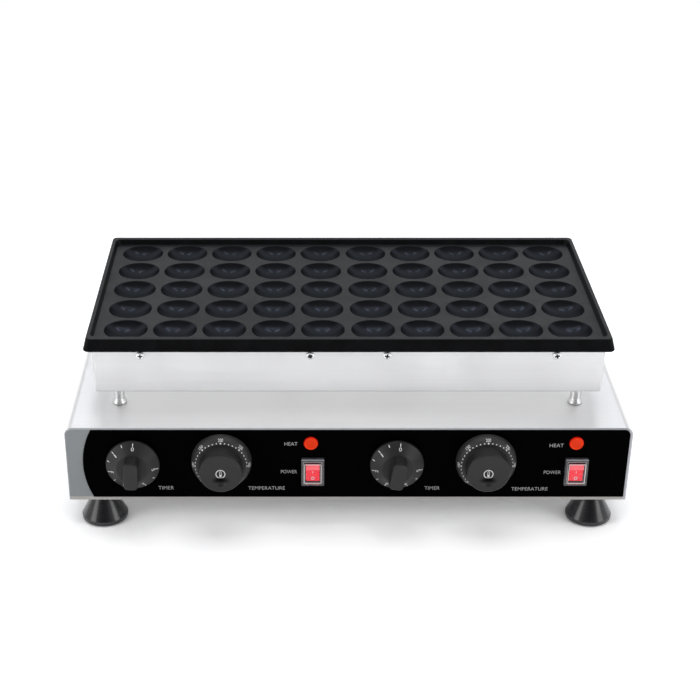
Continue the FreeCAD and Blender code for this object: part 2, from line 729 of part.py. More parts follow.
def switch_body():
    """Flanged box with a rocker well, trunnion bore and six blades."""
    body = prism(11.6, 15.35, 1.3, 0.0, SWITCH_RIM)
    body = fillet(body, 0.8, flat_at(SWITCH_RIM))
    body = body.fuse(prism(9.3, 13.3, 0.8, -24.0, 0.5))
    body = body.cut(box(-7.6, 7.6, -11.5, 11.5, -4.0, SWITCH_RIM + 1))
    body = body.cut(prism(9.05, 12.5, 1.0, 2.4, SWITCH_RIM + 1))
    body = body.cut(cyl(1.5 + RUN_CLEAR, V(-9.0, 0, ROCKER_AXIS_Z), X, 18.0))
    for x in (-5.0, 5.0):
        for y in (-8.0, 0.0, 8.0):
            body = body.fuse(box(x - 0.4, x + 0.4, y - 2.4, y + 2.4, -32.0, -23.5))
    return one(body)


# rocker side outline, (y up the panel, z outwards), about the trunnion axis
ROCKER_OUTLINE = [
    (-8.2, -1.6), (8.2, -1.6), (9.7, 0.6), (9.7, 3.1), (9.1, 3.7),
    (0.0, 2.3), (-9.1, 3.7), (-9.7, 3.1), (-9.7, 0.6),
]
ROCKER_HW = 6.85


def rocker_crest(e):
    return (e.BoundBox.ZMin > 2.9 and abs(abs(e.CenterOfMass.y) - 9.1) < 0.2
            and e.BoundBox.XLength > 10)


def rocker():
    """Rocker on two trunnions, tipped top end outwards."""
    outline = ROCKER_OUTLINE + ROCKER_OUTLINE[:1]
    wire = Part.makePolygon([V(-ROCKER_HW, y, z) for y, z in outline])
    body = outward(Part.Face(wire).extrude(V(2 * ROCKER_HW, 0, 0)))
    body = fillet(body, 0.5, rocker_crest)
    body = one(body.fuse(cyl(1.5, V(-8.0, 0, 0), X, 16.0)))
    return at(turned(body, X, ROCKER_REST_TILT), 0, 0, ROCKER_AXIS_Z)


def switch_boot():
    """Thin cap over the rocker."""
    boot = prism(8.95, 12.4, 1.0, 2.4, 7.6)
    boot = fillet(boot, 0.6, flat_at(7.6))
    return one(boot.cut(prism(8.15, 11.6, 0.5, 2.0, 6.8)))


# (file name, shape, x in the left group, y of its z=0 plane, z)
CONTROLS = [
    ("timer_body_", timer_body(), TIMER_X, SHEET_Y, TIMER_Z),
    ("timer_shaft_", shaft(TIMER_FRONT_Y), TIMER_X, SHEET_Y, TIMER_Z),
    ("thermostat_body_", thermo_body(), THERMO_X, SHEET_Y, THERMO_Z),
    ("thermostat_shaft_", shaft(THERMO_FRONT_Y), THERMO_X, SHEET_Y, THERMO_Z),
    ("thermostat_knob_", thermo_knob(), THERMO_X, PANEL_Y, THERMO_Z),
    ("heat_lamp_lens_", lamp_lens(), LAMP_X, PANEL_Y, LAMP_Z),
    ("heat_lamp_body_", lamp_body(), LAMP_X, PANEL_Y, LAMP_Z),
    ("power_switch_", switch_body(), SWITCH_X, PANEL_Y, SWITCH_Z),
    ("power_rocker_", rocker(), SWITCH_X, PANEL_Y, SWITCH_Z),
    ("switch_boot_", switch_boot(), SWITCH_X, PANEL_Y, SWITCH_Z),
]
control_screw = pan_screw(2.9, 1.3, 1.5, 7.5)
control_screws = []
for side, shift in SHIFT.items():
    for name, shape, x, y, z in CONTROLS:
        save(name + side, face_front(shape, x + shift, y, z))
    # timer knobs rest turned clockwise as seen from the front
    knob = turned(timer_knob(), Z, -TIMER_REST_TURN[side])
    save("timer_knob_" + side, face_front(knob, TIMER_X + shift, PANEL_Y, TIMER_Z))
    for x, z in ((TIMER_X, TIMER_Z), (THERMO_X, THERMO_Z)):
        for dx in (-CONTROL_SCREW_DX, CONTROL_SCREW_DX):
            control_screws.append(face_front(control_screw, x + shift + dx, PANEL_Y, z))
save("control_fixing_screws", group(control_screws))


# ------------------------------------------------------------ thermostat bulbs
def thermostat_bulb(side):
    """Bulb under the plate, with its capillary down to the thermostat."""
    sign = SIGN[side]
    y, z = 5.0, 171.3
    bulb = cyl(3.0, V(sign * 185.0, y, z), V(-sign, 0, 0), 88.0)
    capillary = routed(1.0, 6.0, (sign * 98.0, y, z), ("x", sign * (CONDUIT_X + 3.0)),
                       ("z", 88.0), ("x", THERMO_X + SHIFT[side]), ("y", -141.3))
    return one(bulb.fuse(capillary))


for side in SIGN:
    save("thermostat_bulb_" + side, thermostat_bulb(side))


# ------------------------------------------------------------ mains entry
def terminal_block():
    """Five-way block: screw wells from above, wire bores front to back."""
    x, y, z = TERMINAL_X, TERMINAL_Y, BASE_FLOOR_Z
    block = box(x - 30, x + 30, y - 9, y + 9, z, z + 8)
    block = block.fuse(box(x - 26, x + 26, y - 7, y + 7, z + 7.5, z + 17))
    for k in range(-2, 3):
        way_x = x + TERMINAL_PITCH * k
        block = block.cut(cyl(2.6, V(way_x, y, z + 10), Z, 8))
        block = block.cut(cyl(1.9, V(way_x, y - 10, TERMINAL_BORE_Z), Y, 20))
    return one(block)


def earth_stud():
    """Stud with a nut on each side of the bottom cover."""
    bottom = BASE_Z0 - 3.0
    stud = cyl(2.5, V(EARTH_X, EARTH_Y, bottom), Z, 24.0)
    stud = stud.fuse(at(hex_nut(8.0, 4.0, 2.4), EARTH_X, EARTH_Y, BASE_FLOOR_Z))
    return one(stud.fuse(at(hex_nut(8.0, 3.0, 2.4), EARTH_X, EARTH_Y, bottom)))


def cord_gland():
    """Drawn with +Z pointing rearwards, z=0 on the rear sheet."""
    bore_r = 4.15
    gland = hex_nut(20.0, 6.0, bore_r)
    gland = gland.fuse(spin([(bore_r, 5.5), (9.2, 5.5), ((9.2, 9.0), (8.6, 12.2), (6.6, 14.5)),
                             (5.6, 15.2), (bore_r, 15.2)]))
    gland = gland.fuse(spin([(bore_r, -11.0), (8.0, -11.0), (8.0, 0.5), (bore_r, 0.5)]))
    return at(turned(one(gland), X, -90), GLAND_X, BASE_Y1, GLAND_Z)


LOCKNUT_H = 4.6
save("terminal_block", terminal_block())
save("earth_stud", earth_stud())
save("cord_gland", cord_gland())
save("gland_locknut", at(turned(hex_nut(21.0, LOCKNUT_H, 8.05), X, -90),
                         GLAND_X, BASE_Y1 - BASE_SHEET - LOCKNUT_H, GLAND_Z))


# ------------------------------------------------------------ lead and plug
def s_bend(a, b):
    """Two equal arcs from a to b, leaving and arriving along X."""
    a, b = V(a), V(b)
    half_x = (b.x - a.x) / 2.0
    offset = V(0, b.y - a.y, b.z - a.z)
    half_offset = offset.Length / 2.0
    across = offset * (1.0 / offset.Length)
    r = (half_x ** 2 + half_offset ** 2) / (2 * half_offset)
    half_angle = math.asin(abs(half_x) / r) / 2
    to_middle = (V(math.copysign(r * math.sin(half_angle), half_x), 0, 0)
                 + across * (r * (1 - math.cos(half_angle))))
    centre = (a + b) * 0.5
    return [arc(a, a + to_middle, centre), arc(centre, b - to_middle, b)]


def power_cord():
    """Out of the gland, down to the floor, into a flat hank, then the plug."""
    hank_r = 20.0
    hank_y = REAR_Y - CORD_R - hank_r
    x0, x1 = -60.0, 120.0               # ends of the hank's straights
    rear, front = hank_y + hank_r, hank_y - hank_r
    level = 9.4                         # rise per turn
    floor = CORD_R + 0.6
    bend_y = 158.0                      # the lead starts to turn down here
    drop_r = rear - bend_y
    drop_z = GLAND_Z - drop_r
    floor_r = drop_z - floor
    k, m = corner_inset(drop_r), corner_inset(floor_r)
    path = [
        line((GLAND_X, 128.0, GLAND_Z), (GLAND_X, bend_y, GLAND_Z)),
        arc((GLAND_X, bend_y, GLAND_Z), (GLAND_X, rear - k, GLAND_Z - k),
            (GLAND_X, rear, drop_z)),
        arc((GLAND_X, rear, drop_z), (GLAND_X - m, rear, floor + m),
            (GLAND_X - floor_r, rear, floor)),
        line((GLAND_X - floor_r, rear, floor), (x0, rear, floor)),
    ]
    for turn in range(2):
        z = floor + level * turn
        up = z + level
        path.append(arc((x0, rear, z), (x0 - hank_r, hank_y, z), (x0, front, z)))
        path += s_bend((x0, front, z), (x1, front, up))
        path.append(arc((x1, front, up), (x1 + hank_r, hank_y, up), (x1, rear, up)))
        if turn == 0:
            path.append(line((x1, rear, up), (x0, rear, up)))
    z = floor + 2 * level
    leave_x, arrive_x = x0 - 28.0, PLUG_X + 30.0
    path.append(line((x1, rear, z), (leave_x, rear, z)))
    path += s_bend((leave_x, rear, z), (arrive_x, PLUG_Y, PLUG_Z))
    path.append(line((arrive_x, PLUG_Y, PLUG_Z), (PLUG_X + 2.0, PLUG_Y, PLUG_Z)))
    return sweep_circle(path, CORD_R)


PIN_OFFSET = 9.5


def mains_plug():
    """Round plug with a strain relief and two side notches, front along +Z."""
    bore_r = CORD_R + 0.05
    plug = spin([(bore_r, 0), ((6.2, 0), (6.9, 0.4), (7.2, 1.2)), (8.6, 22.0),
                 ((12.0, 26.0), (15.6, 29.6), (16.6, 34.5)), (16.6, 44.0), (PLUG_R, 45.0),
                 ((PLUG_R, 51.0), (17.3, 51.7), (16.6, 52.0)), (0, 52.0), (0, 24.0),
                 (bore_r, 24.0)])
    for sign in (-1, 1):
        y = sign * 21.5
        plug = plug.cut(box(-7.0, 7.0, y - 5.0, y + 5.0, 33.0, 60.0))
        plug = plug.cut(cyl(2.45, V(sign * PIN_OFFSET, 0, 44.0), Z, 10.0))
    return one(plug)


def plug_pins():
    pin = spin([(0, 44.5), (2.4, 44.5), ((2.4, 68.6), (1.9, 70.1), (0.7, 71.0)), (0, 71.0)])
    return copies(pin, [(-PIN_OFFSET, 0), (PIN_OFFSET, 0)], 0)


save("power_cord", power_cord())
# the plug lies with its pins pointing to -X
for name, shape in (("mains_plug", mains_plug()), ("plug_pins", plug_pins())):
    save(name, at(turned(shape, Y, -90), PLUG_X + 24.0, PLUG_Y, PLUG_Z))


# ------------------------------------------------------------ internal wiring
def wire(start, *legs):
    return routed(1.2, 3.0, start, *legs)


SWITCH_TAIL_Y = PANEL_Y + 33.2          # just behind each set of blades
TIMER_TAIL_Y = SHEET_Y + 39.2
THERMO_TAIL_Y = SHEET_Y + 31.2
LAMP_TAIL_Y = -137.4
BLADE_DX, BLADE_DZ = 5.0, 8.0           # switch blades from the switch centre


def supply_wires():
    """Lead to terminal block, earth stud and the two switches."""
    bore_z = TERMINAL_BORE_Z
    rear, front = TERMINAL_Y + 9.8, TERMINAL_Y - 9.8
    wires = []
    for k in (-1, 0, 1):
        wires.append(wire((GLAND_X + k * 2.7, 127.6, GLAND_Z), ("y", 123.0),
                          ("xy", TERMINAL_X + k * TERMINAL_PITCH, 108.0),
                          ("z", bore_z), ("y", rear)))
    wires.append(wire((TERMINAL_X + 2 * TERMINAL_PITCH, rear, bore_z),
                      ("y", EARTH_Y), ("x", EARTH_X + 4.4)))
    left, right = SWITCH_X, SWITCH_X + GROUP_PITCH
    # (terminal, blade x, y where it turns sideways, legs before that)
    runs = [
        (1, right + BLADE_DX, -100.0, []),
        (0, right - BLADE_DX, -94.0, [("y", 66.0), ("z", 35.5)]),
        (-1, left + BLADE_DX, -60.0, []),
        (-2, left - BLADE_DX, -52.0, []),
    ]
    for k, blade_x, turn_y, dive in runs:
        wires.append(wire((TERMINAL_X + k * TERMINAL_PITCH, front, bore_z), *dive,
                          ("y", turn_y), ("x", blade_x), ("z", SWITCH_Z - BLADE_DZ),
                          ("y", SWITCH_TAIL_Y)))
    return wires


def group_wires(side):
    """Wires among one group of controls and up to its element."""
    sign, shift = SIGN[side], SHIFT[side]
    switch, timer = SWITCH_X + shift, TIMER_X + shift
    thermo, lamp = THERMO_X + shift, LAMP_X + shift
    thermo_z = THERMO_Z - 18.6
    conduit, pin_x, pin_z = sign * CONDUIT_X, sign * 9.5, 168.6
    return [
        # switch to timer, timer to thermostat, thermostat to lamp, lamp return
        wire((switch - BLADE_DX, SWITCH_TAIL_Y, SWITCH_Z + BLADE_DZ), ("y", -126.0),
             ("z", 104.0), ("x", timer + 12.0), ("z", TIMER_Z), ("y", TIMER_TAIL_Y)),
        wire((timer, TIMER_TAIL_Y, TIMER_Z), ("y", -122.0), ("z", 46.0),
             ("x", thermo - 13.0), ("z", thermo_z), ("y", THERMO_TAIL_Y)),
        wire((thermo + 13.0, THERMO_TAIL_Y, thermo_z), ("y", -130.0),
             ("z", LAMP_Z + 3.0), ("x", lamp), ("y", LAMP_TAIL_Y)),
        wire((switch + BLADE_DX, SWITCH_TAIL_Y, SWITCH_Z), ("y", -127.0),
             ("z", LAMP_Z - 3.0), ("x", lamp), ("y", LAMP_TAIL_Y)),
        # element leads, up the conduit and out to the two terminals
        wire((timer - 12.0, TIMER_TAIL_Y, TIMER_Z), ("y", -118.0), ("z", 100.0),
             ("x", conduit + sign * 3.0), ("y", -3.5), ("z", 158.0), ("y", -70.0),
             ("x", pin_x), ("y", -ELEMENT_ROW_Y), ("z", pin_z)),
        wire((switch - BLADE_DX, SWITCH_TAIL_Y, SWITCH_Z), ("y", -114.0), ("z", 95.0),
             ("x", conduit - sign * 3.0), ("y", -5.5), ("z", 162.0), ("y", 70.0),
             ("x", pin_x), ("y", ELEMENT_ROW_Y), ("z", pin_z)),
    ]


save("wiring_harness", group(supply_wires() + group_wires("left") + group_wires("right")))
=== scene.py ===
"""A griddle with a cupped non-stick plate and two like control groups, in a pale studio.

The shapes come as CAD pieces. Here they get materials, printed marks, lamp lenses and small
details. X runs to the right as seen from the front, the control panel faces -Y and Z is up.
Mesh work is in mm; shader coordinates, lights and the camera are in metres.
"""
import json
import math
from functools import cached_property

import bmesh
import bpy
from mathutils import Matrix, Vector
from mathutils.bvhtree import BVHTree


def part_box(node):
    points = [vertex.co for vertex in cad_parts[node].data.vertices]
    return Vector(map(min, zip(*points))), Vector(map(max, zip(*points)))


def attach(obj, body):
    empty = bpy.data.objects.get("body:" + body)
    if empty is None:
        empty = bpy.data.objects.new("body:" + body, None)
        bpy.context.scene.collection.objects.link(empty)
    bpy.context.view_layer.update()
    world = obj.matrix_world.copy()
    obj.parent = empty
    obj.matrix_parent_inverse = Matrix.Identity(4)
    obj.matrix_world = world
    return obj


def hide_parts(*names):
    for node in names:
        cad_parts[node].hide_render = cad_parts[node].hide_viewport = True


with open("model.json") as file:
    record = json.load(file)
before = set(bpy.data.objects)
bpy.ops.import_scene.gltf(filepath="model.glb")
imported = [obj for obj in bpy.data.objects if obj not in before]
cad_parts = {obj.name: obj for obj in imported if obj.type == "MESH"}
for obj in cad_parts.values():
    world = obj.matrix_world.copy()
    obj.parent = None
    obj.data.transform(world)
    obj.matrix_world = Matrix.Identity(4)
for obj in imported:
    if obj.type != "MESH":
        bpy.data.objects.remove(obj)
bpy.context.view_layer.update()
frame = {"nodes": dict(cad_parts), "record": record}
NODES = frame["nodes"]
SLOT_OF = {part["node"]: part["material_slot"] for part in frame["record"]["subparts"]}
SCENE = bpy.context.scene
MM = 0.001

# Places shared with the CAD pieces, in mm; centres are (x, z) on the panel, left group
PANEL_Y = -171.6
GROUP_PITCH = 266.4
TIMER = (-217.3, 74.0)
THERMOSTAT = (-127.8, 78.0)
SWITCH = (-35.8, 64.6)
SIDES = (("left", 0.0), ("right", GROUP_PITCH))

MATERIALS = {}
FADE = (1.0, 0.0)  # output range of a span that falls


# ------------------------------------------------------------------ shader graph
class Graph:
    """Builds the node tree of one material or world."""

    def __init__(self, owner, output="ShaderNodeOutputMaterial"):
        owner.use_nodes = True
        self.tree = owner.node_tree
        self.tree.nodes.clear()
        self.output = self.node(output)

    @cached_property
    def place(self):
        return self.node("ShaderNodeTexCoord").outputs["Object"]

    @cached_property
    def geometry(self):
        return self.node("ShaderNodeNewGeometry").outputs

    def feed(self, socket, value):
        """Links a socket, or sets a value; colours may be given without alpha."""
        if isinstance(value, bpy.types.NodeSocket):
            self.tree.links.new(value, socket)
        elif socket.type == "RGBA":
            socket.default_value = (*value, 1.0)
        else:
            socket.default_value = value

    def node(self, kind, inputs=None, **settings):
        node = self.tree.nodes.new(kind)
        for key, value in settings.items():
            setattr(node, key, value)
        for key, value in (inputs or {}).items():
            self.feed(node.inputs[key], value)
        return node

    def noise(self, scale=1.0, detail=3.0, rough=0.5, distortion=0.0, stretch=None):
        """Noise over object coordinates; stretch multiplies each axis, to draw it into streaks."""
        place = self.place
        if stretch:
            inputs = {0: place, 1: stretch}
            place = self.node("ShaderNodeVectorMath", inputs, operation="MULTIPLY").outputs[0]
        inputs = {"Vector": place, "Scale": scale, "Detail": detail, "Roughness": rough,
                  "Distortion": distortion}
        return self.node("ShaderNodeTexNoise", inputs).outputs["Fac"]

    def span(self, value, over, to=(0.0, 1.0), smooth=True):
        """Maps the range `over` to the range `to`, held at both ends."""
        inputs = {0: value, 1: over[0], 2: over[1], 3: to[0], 4: to[1]}
        shape = "SMOOTHSTEP" if smooth else "LINEAR"
        node = self.node("ShaderNodeMapRange", inputs, clamp=True, interpolation_type=shape)
        return node.outputs[0]

    def math(self, operation, first, second=0.0, clamp=False):
        inputs = {0: first, 1: second}
        node = self.node("ShaderNodeMath", inputs, operation=operation, use_clamp=clamp)
        return node.outputs[0]

    def times(self, first, second):
        return self.math("MULTIPLY", first, second)

    def plus(self, first, second, clamp=False):
        return self.math("ADD", first, second, clamp)

    def inverse(self, value, clamp=False):
        return self.math("SUBTRACT", 1.0, value, clamp)

    def mix(self, share, base, other, blend="MIX"):
        """Moves the base colour towards the other by a share."""
        inputs = {"Fac": share, "Color1": base, "Color2": other}
        return self.node("ShaderNodeMixRGB", inputs, blend_type=blend).outputs[0]

    def xyz(self, vector=None):
        return self.node("ShaderNodeSeparateXYZ", {0: vector or self.place}).outputs

    def facing(self):
        """The x, y and z parts of the surface normal."""
        return self.xyz(self.geometry["Normal"])

    def round_edges(self, radius_mm):
        return self.node("ShaderNodeBevel", {"Radius": radius_mm * MM}, samples=4).outputs[0]

    def wear(self, rounded, flat=0.997, edge=0.93):
        """1 on an outer or inner edge, 0 on the flat; limits are cosines of the bevel's turn."""
        inputs = {0: rounded, 1: self.geometry["Normal"]}
        turn = self.node("ShaderNodeVectorMath", inputs, operation="DOT_PRODUCT")
        return self.span(turn.outputs["Value"], over=(flat, edge))

    def bump(self, height, depth_mm, strength, normal=None):
        inputs = {"Height": height, "Distance": depth_mm * MM, "Strength": strength}
        if normal:
            inputs["Normal"] = normal
        return self.node("ShaderNodeBump", inputs).outputs[0]

    def principled(self, colour, rough, normal, metallic=0.0, **more):
        """Underscores in the names of further inputs stand for spaces."""
        inputs = {"Base Color": colour, "Roughness": rough, "Metallic": metallic,
                  "Normal": normal}
        inputs.update((key.replace("_", " "), value) for key, value in more.items())
        return self.node("ShaderNodeBsdfPrincipled", inputs).outputs[0]

    def finish(self, shader):
        self.feed(self.output.inputs["Surface"], shader)


def new_material(name):
    MATERIALS[name] = bpy.data.materials.new(name)
    return Graph(MATERIALS[name])


def lifted(colour, gain, offset=0.0):
    return tuple(min(1.0, part * gain + offset) for part in colour)


# ------------------------------------------------------------------ metals
def make_nonstick():
    """Dark non-stick coat, smoother in the cups; a painted sheen makes the flat greyer than the
    near black sides.
    """
    mat = new_material("nonstick_casting")
    rounded = mat.round_edges(0.5)
    grain = mat.noise(scale=2600.0, detail=2.0, rough=0.6)
    mottle = mat.noise(scale=55.0, detail=5.0, rough=0.6)
    grease = mat.noise(scale=14.0, detail=4.0, rough=0.6, distortion=0.6)
    up = mat.facing()[2]
    below_top = mat.span(mat.xyz()[2], over=(0.1882, 0.1887), to=FADE)
    cup = mat.times(below_top, mat.span(up, over=(0.2, 0.5)))
    flat = mat.span(up, over=(0.30, 0.98))

    # painted shade and sheen: cup walls darker than cup floors, then sides darker than the flat
    # top
    bowl_shade = mat.mix(mat.span(up, over=(0.70, 0.975)),
                   (0.0060, 0.0066, 0.0076), (0.0205, 0.0228, 0.0262))
    colour = mat.mix(flat, (0.0022, 0.0023, 0.0026), (0.0150, 0.0158, 0.0172))
    colour = mat.mix(cup, colour, bowl_shade)
    # mottle, pale grains on the flat, worn edges
    share = mat.span(mottle, over=(0.35, 0.7), to=(0.0, 0.14))
    colour = mat.mix(share, colour, (0.018, 0.019, 0.022))
    share = mat.times(mat.span(grain, over=(0.60, 0.8), to=(0.0, 0.22)), flat)
    colour = mat.mix(share, colour, (0.040, 0.042, 0.046))
    share = mat.times(mat.wear(rounded, flat=0.995, edge=0.90), 0.10)
    colour = mat.mix(share, colour, (0.060, 0.062, 0.066))

    rough = mat.plus(mat.span(grease, over=(0.3, 0.7), to=(0.0, 0.06)),
                     mat.span(mottle, over=(0.3, 0.7), to=(0.36, 0.42)))
    specular = mat.span(up, over=(0.0, 0.85), to=(0.04, 0.075))
    specular = mat.times(specular, mat.inverse(cup, clamp=True))
    normal = mat.bump(grain, depth_mm=0.035, strength=0.55, normal=rounded)
    normal = mat.bump(mottle, depth_mm=0.05, strength=0.25, normal=normal)
    body = mat.principled(colour, rough, normal, Specular_IOR_Level=specular)

    # painted highlight: in the cups a bluish gloss is added only on a narrow band of slopes turned
    # to the front
    facing_y = mat.facing()[1]
    band = mat.times(mat.span(facing_y, over=(-0.54, -0.38), to=(0.0, 0.019)),
                     mat.span(facing_y, over=(-0.35, -0.12), to=FADE))
    painted_highlight = mat.times(cup, band)
    channels = {i: mat.times(painted_highlight, gain) for i, gain in enumerate((0.88, 0.95, 1.25))}
    tint = mat.node("ShaderNodeCombineColor", channels).outputs[0]
    gloss = mat.node("ShaderNodeBsdfGlossy",
                     {"Color": tint, "Roughness": 0.17, "Normal": rounded}).outputs[0]
    mat.finish(mat.node("ShaderNodeAddShader", {0: body, 1: gloss}).outputs[0])


def front_finish(mat):
    """Flat grey finish on the front face of the base, with painted reflections on its bare strips:
    where it lies, and its colour.
    """
    x, y, z = mat.xyz()
    face = mat.times(mat.span(y, over=(-0.1707, -0.1705), to=FADE),
                     mat.span(mat.facing()[1], over=(-0.80, -0.95)))
    grain = mat.span(mat.noise(scale=1500.0, detail=2.0), over=(0.3, 0.7), to=(0.93, 1.05))
    # painted reflections: the bare strips above, below and at the right end get flat lighter
    # colours, the top one a painted highlight
    colour = mat.mix(mat.span(z, over=(0.1112, 0.1122)),
                     (0.236, 0.254, 0.264), (0.40, 0.415, 0.43))
    below = mat.span(z, over=(0.0335, 0.0340), to=FADE)
    colour = mat.mix(below, colour, (0.430, 0.414, 0.394))
    colour = mat.mix(mat.span(x, over=(0.2800, 0.2822)), colour, (0.50, 0.50, 0.535))
    return face, mat.mix(1.0, colour, grain, "MULTIPLY")


def make_brushed(name, tone, front=False):
    """Stainless sheet brushed along X, with faint handling marks and brighter worn edges."""
    mat = new_material(name)
    rounded = mat.round_edges(0.45)
    lines = mat.noise(stretch=(3.0, 620.0, 620.0), detail=4.0, rough=0.65)
    bands = mat.noise(stretch=(1.8, 75.0, 75.0), rough=0.6)
    smear = mat.noise(scale=9.0, detail=4.0, rough=0.55, distortion=0.8)
    specks = mat.node("ShaderNodeTexVoronoi", {"Vector": mat.place, "Scale": 420.0})

    colour = mat.mix(lines, lifted((0.94, 0.94, 0.943), tone), lifted((1.04, 1.04, 1.042), tone))
    share = mat.span(bands, over=(0.35, 0.65), to=(0.0, 0.045))
    colour = mat.mix(share, colour, lifted((0.82, 0.82, 0.83), tone))
    share = mat.span(smear, over=(0.5, 0.75), to=(0.0, 0.05))
    colour = mat.mix(share, colour, lifted((0.80, 0.795, 0.785), tone))
    colour = mat.mix(mat.times(mat.wear(rounded), 0.40), colour, (0.90, 0.90, 0.90))
    share = mat.span(specks.outputs["Distance"], over=(0.0, 0.10), to=(0.08, 0.0))
    colour = mat.mix(share, colour, (0.50, 0.50, 0.50))

    # painted shade: the folded corners are darkened to tone down the highlights they catch
    facing_x, facing_y, _ = mat.facing()
    fold_shade = mat.times(mat.span(facing_y, over=(-0.10, -0.35)),
                     mat.span(facing_y, over=(-0.97, -0.90)))
    if front:
        colour = mat.mix(mat.times(fold_shade, 0.95), colour, (0.46, 0.46, 0.47))
    else:
        sideways = mat.math("ABSOLUTE", facing_x)
        side = mat.times(mat.span(sideways, over=(0.06, 0.30)),
                         mat.span(sideways, over=(0.90, 0.985), to=FADE))
        fold_shade = mat.math("MAXIMUM", side, fold_shade)
        colour = mat.mix(mat.times(fold_shade, 0.75), colour, (0.50, 0.50, 0.505))

    metallic, anisotropic = 1.0, 0.80
    if front:
        face, paint = front_finish(mat)
        colour = mat.mix(face, colour, paint)
        metallic = mat.inverse(face)
        anisotropic = mat.times(metallic, anisotropic)

    rough = mat.plus(mat.span(lines, over=(0.25, 0.75), to=(0.42, 0.50)),
                     mat.span(smear, over=(0.3, 0.7), to=(0.0, 0.05)))
    normal = mat.bump(lines, depth_mm=0.008, strength=0.35, normal=rounded)
    # highlights stretch across the brush lines
    inputs = {0: mat.geometry["Normal"], 1: (1.0, 0.02, 0.01)}
    across = mat.node("ShaderNodeVectorMath", inputs, operation="CROSS_PRODUCT").outputs[0]
    mat.finish(mat.principled(colour, rough, normal, metallic,
                              Anisotropic=anisotropic, Tangent=across))


def make_metal(name, tone, tint=(1.0, 1.0, 1.0), rough=0.24, scratch_scale=900.0):
    """Plain metal with fine scratches, cloudy tone, worn edges and painted shade in recesses."""
    mat = new_material(name)
    rounded = mat.round_edges(0.2)
    scratches = mat.noise(scale=scratch_scale, detail=4.0, rough=0.65)
    clouds = mat.noise(scale=120.0, detail=4.0, rough=0.6)
    clean = lifted(tint, tone)
    share = mat.span(clouds, over=(0.3, 0.7), to=(0.0, 0.35))
    colour = mat.mix(share, clean, lifted(clean, 0.72))
    share = mat.times(mat.wear(rounded, flat=0.99, edge=0.86), 0.5)
    colour = mat.mix(share, colour, lifted(clean, 1.25))
    # painted shade: colour darkens in recesses, by occlusion
    openness = mat.node("ShaderNodeAmbientOcclusion", {"Distance": 1.3 * MM}, samples=8)
    shade = mat.span(openness.outputs["AO"], over=(0.30, 0.80), to=(0.04, 1.0))
    colour = mat.mix(1.0, colour, shade, "MULTIPLY")
    rough = mat.plus(mat.span(scratches, over=(0.3, 0.7), to=(rough - 0.05, rough + 0.08)),
                     mat.span(clouds, over=(0.3, 0.7), to=(0.0, 0.08)))
    normal = mat.bump(scratches, depth_mm=0.02, strength=0.4, normal=rounded)
    mat.finish(mat.principled(colour, rough, normal, metallic=1.0))


def make_sheath():
    """Heating element sheath, dark with brownish heat stains."""
    mat = new_material("element_sheath")
    grain = mat.noise(scale=500.0, detail=4.0, rough=0.6)
    stain = mat.span(mat.noise(scale=28.0), over=(0.35, 0.65))
    colour = mat.mix(stain, (0.060, 0.052, 0.048), (0.120, 0.085, 0.060))
    share = mat.span(grain, over=(0.5, 0.8), to=(0.0, 0.4))
    colour = mat.mix(share, colour, (0.16, 0.15, 0.15))
    rough = mat.span(grain, over=(0.3, 0.7), to=(0.42, 0.62))
    normal = mat.bump(grain, depth_mm=0.04, strength=0.6)
    mat.finish(mat.principled(colour, rough, normal, metallic=0.7))


# ------------------------------------------------------------------ plastics
def make_plastic(name, colour, rough=0.45, grain_mm=0.6, grain_depth_mm=0.03, specular=0.5,
                 edge=0.25, edge_colour=None, coat=0.0, coat_rough=0.1, blotch=0.12,
                 detail=None):
    """Moulded plastic; `detail` may change its colour and specular level in places."""
    mat = new_material(name)
    rounded = mat.round_edges(0.3)
    grain = mat.noise(scale=1000.0 / grain_mm, rough=0.6)
    clouds = mat.noise(scale=70.0, detail=4.0, rough=0.6)
    light = edge_colour or lifted(colour, 1.8, 0.02)
    share = mat.span(clouds, over=(0.35, 0.7), to=(0.0, blotch))
    colour = mat.mix(share, colour, lifted(colour, 1.5, 0.004))
    colour = mat.mix(mat.span(grain, over=(0.55, 0.8), to=(0.0, blotch)), colour, light)
    share = mat.times(mat.wear(rounded, flat=0.99, edge=0.88), edge)
    colour = mat.mix(share, colour, light)
    if detail:
        colour, specular = detail(mat, colour, specular)
    rough = mat.plus(mat.span(grain, over=(0.3, 0.7), to=(rough - 0.04, rough + 0.05)),
                     mat.span(clouds, over=(0.3, 0.7), to=(-0.03, 0.05)))
    normal = mat.bump(grain, grain_depth_mm, strength=0.5, normal=rounded)
    mat.finish(mat.principled(colour, rough, normal, Specular_IOR_Level=specular,
                              Coat_Weight=coat, Coat_Roughness=coat_rough))


def offset_x(mat, x, centre):
    """Distance along X, in mm, from a control's centre, mirrored about the groups' midline."""
    middle = (centre[0] + GROUP_PITCH / 2) * MM
    apart = mat.math("ABSOLUTE", mat.math("SUBTRACT", x, middle))
    return mat.times(mat.math("SUBTRACT", apart, GROUP_PITCH / 2 * MM), 1000.0)


def control_radius(mat, centre, up=0.0, half_width=1.0, half_height=1.0):
    """Elliptic radius about a point `up` mm above a control's centre, for both groups."""
    x, _, z = mat.xyz()
    rise = mat.math("SUBTRACT", z, (centre[1] + up) * MM)
    across = mat.math("DIVIDE", offset_x(mat, x, centre), half_width)
    upward = mat.math("DIVIDE", mat.times(rise, 1000.0), half_height)
    squares = mat.plus(mat.times(across, across), mat.times(upward, upward))
    return mat.math("SQRT", squares)


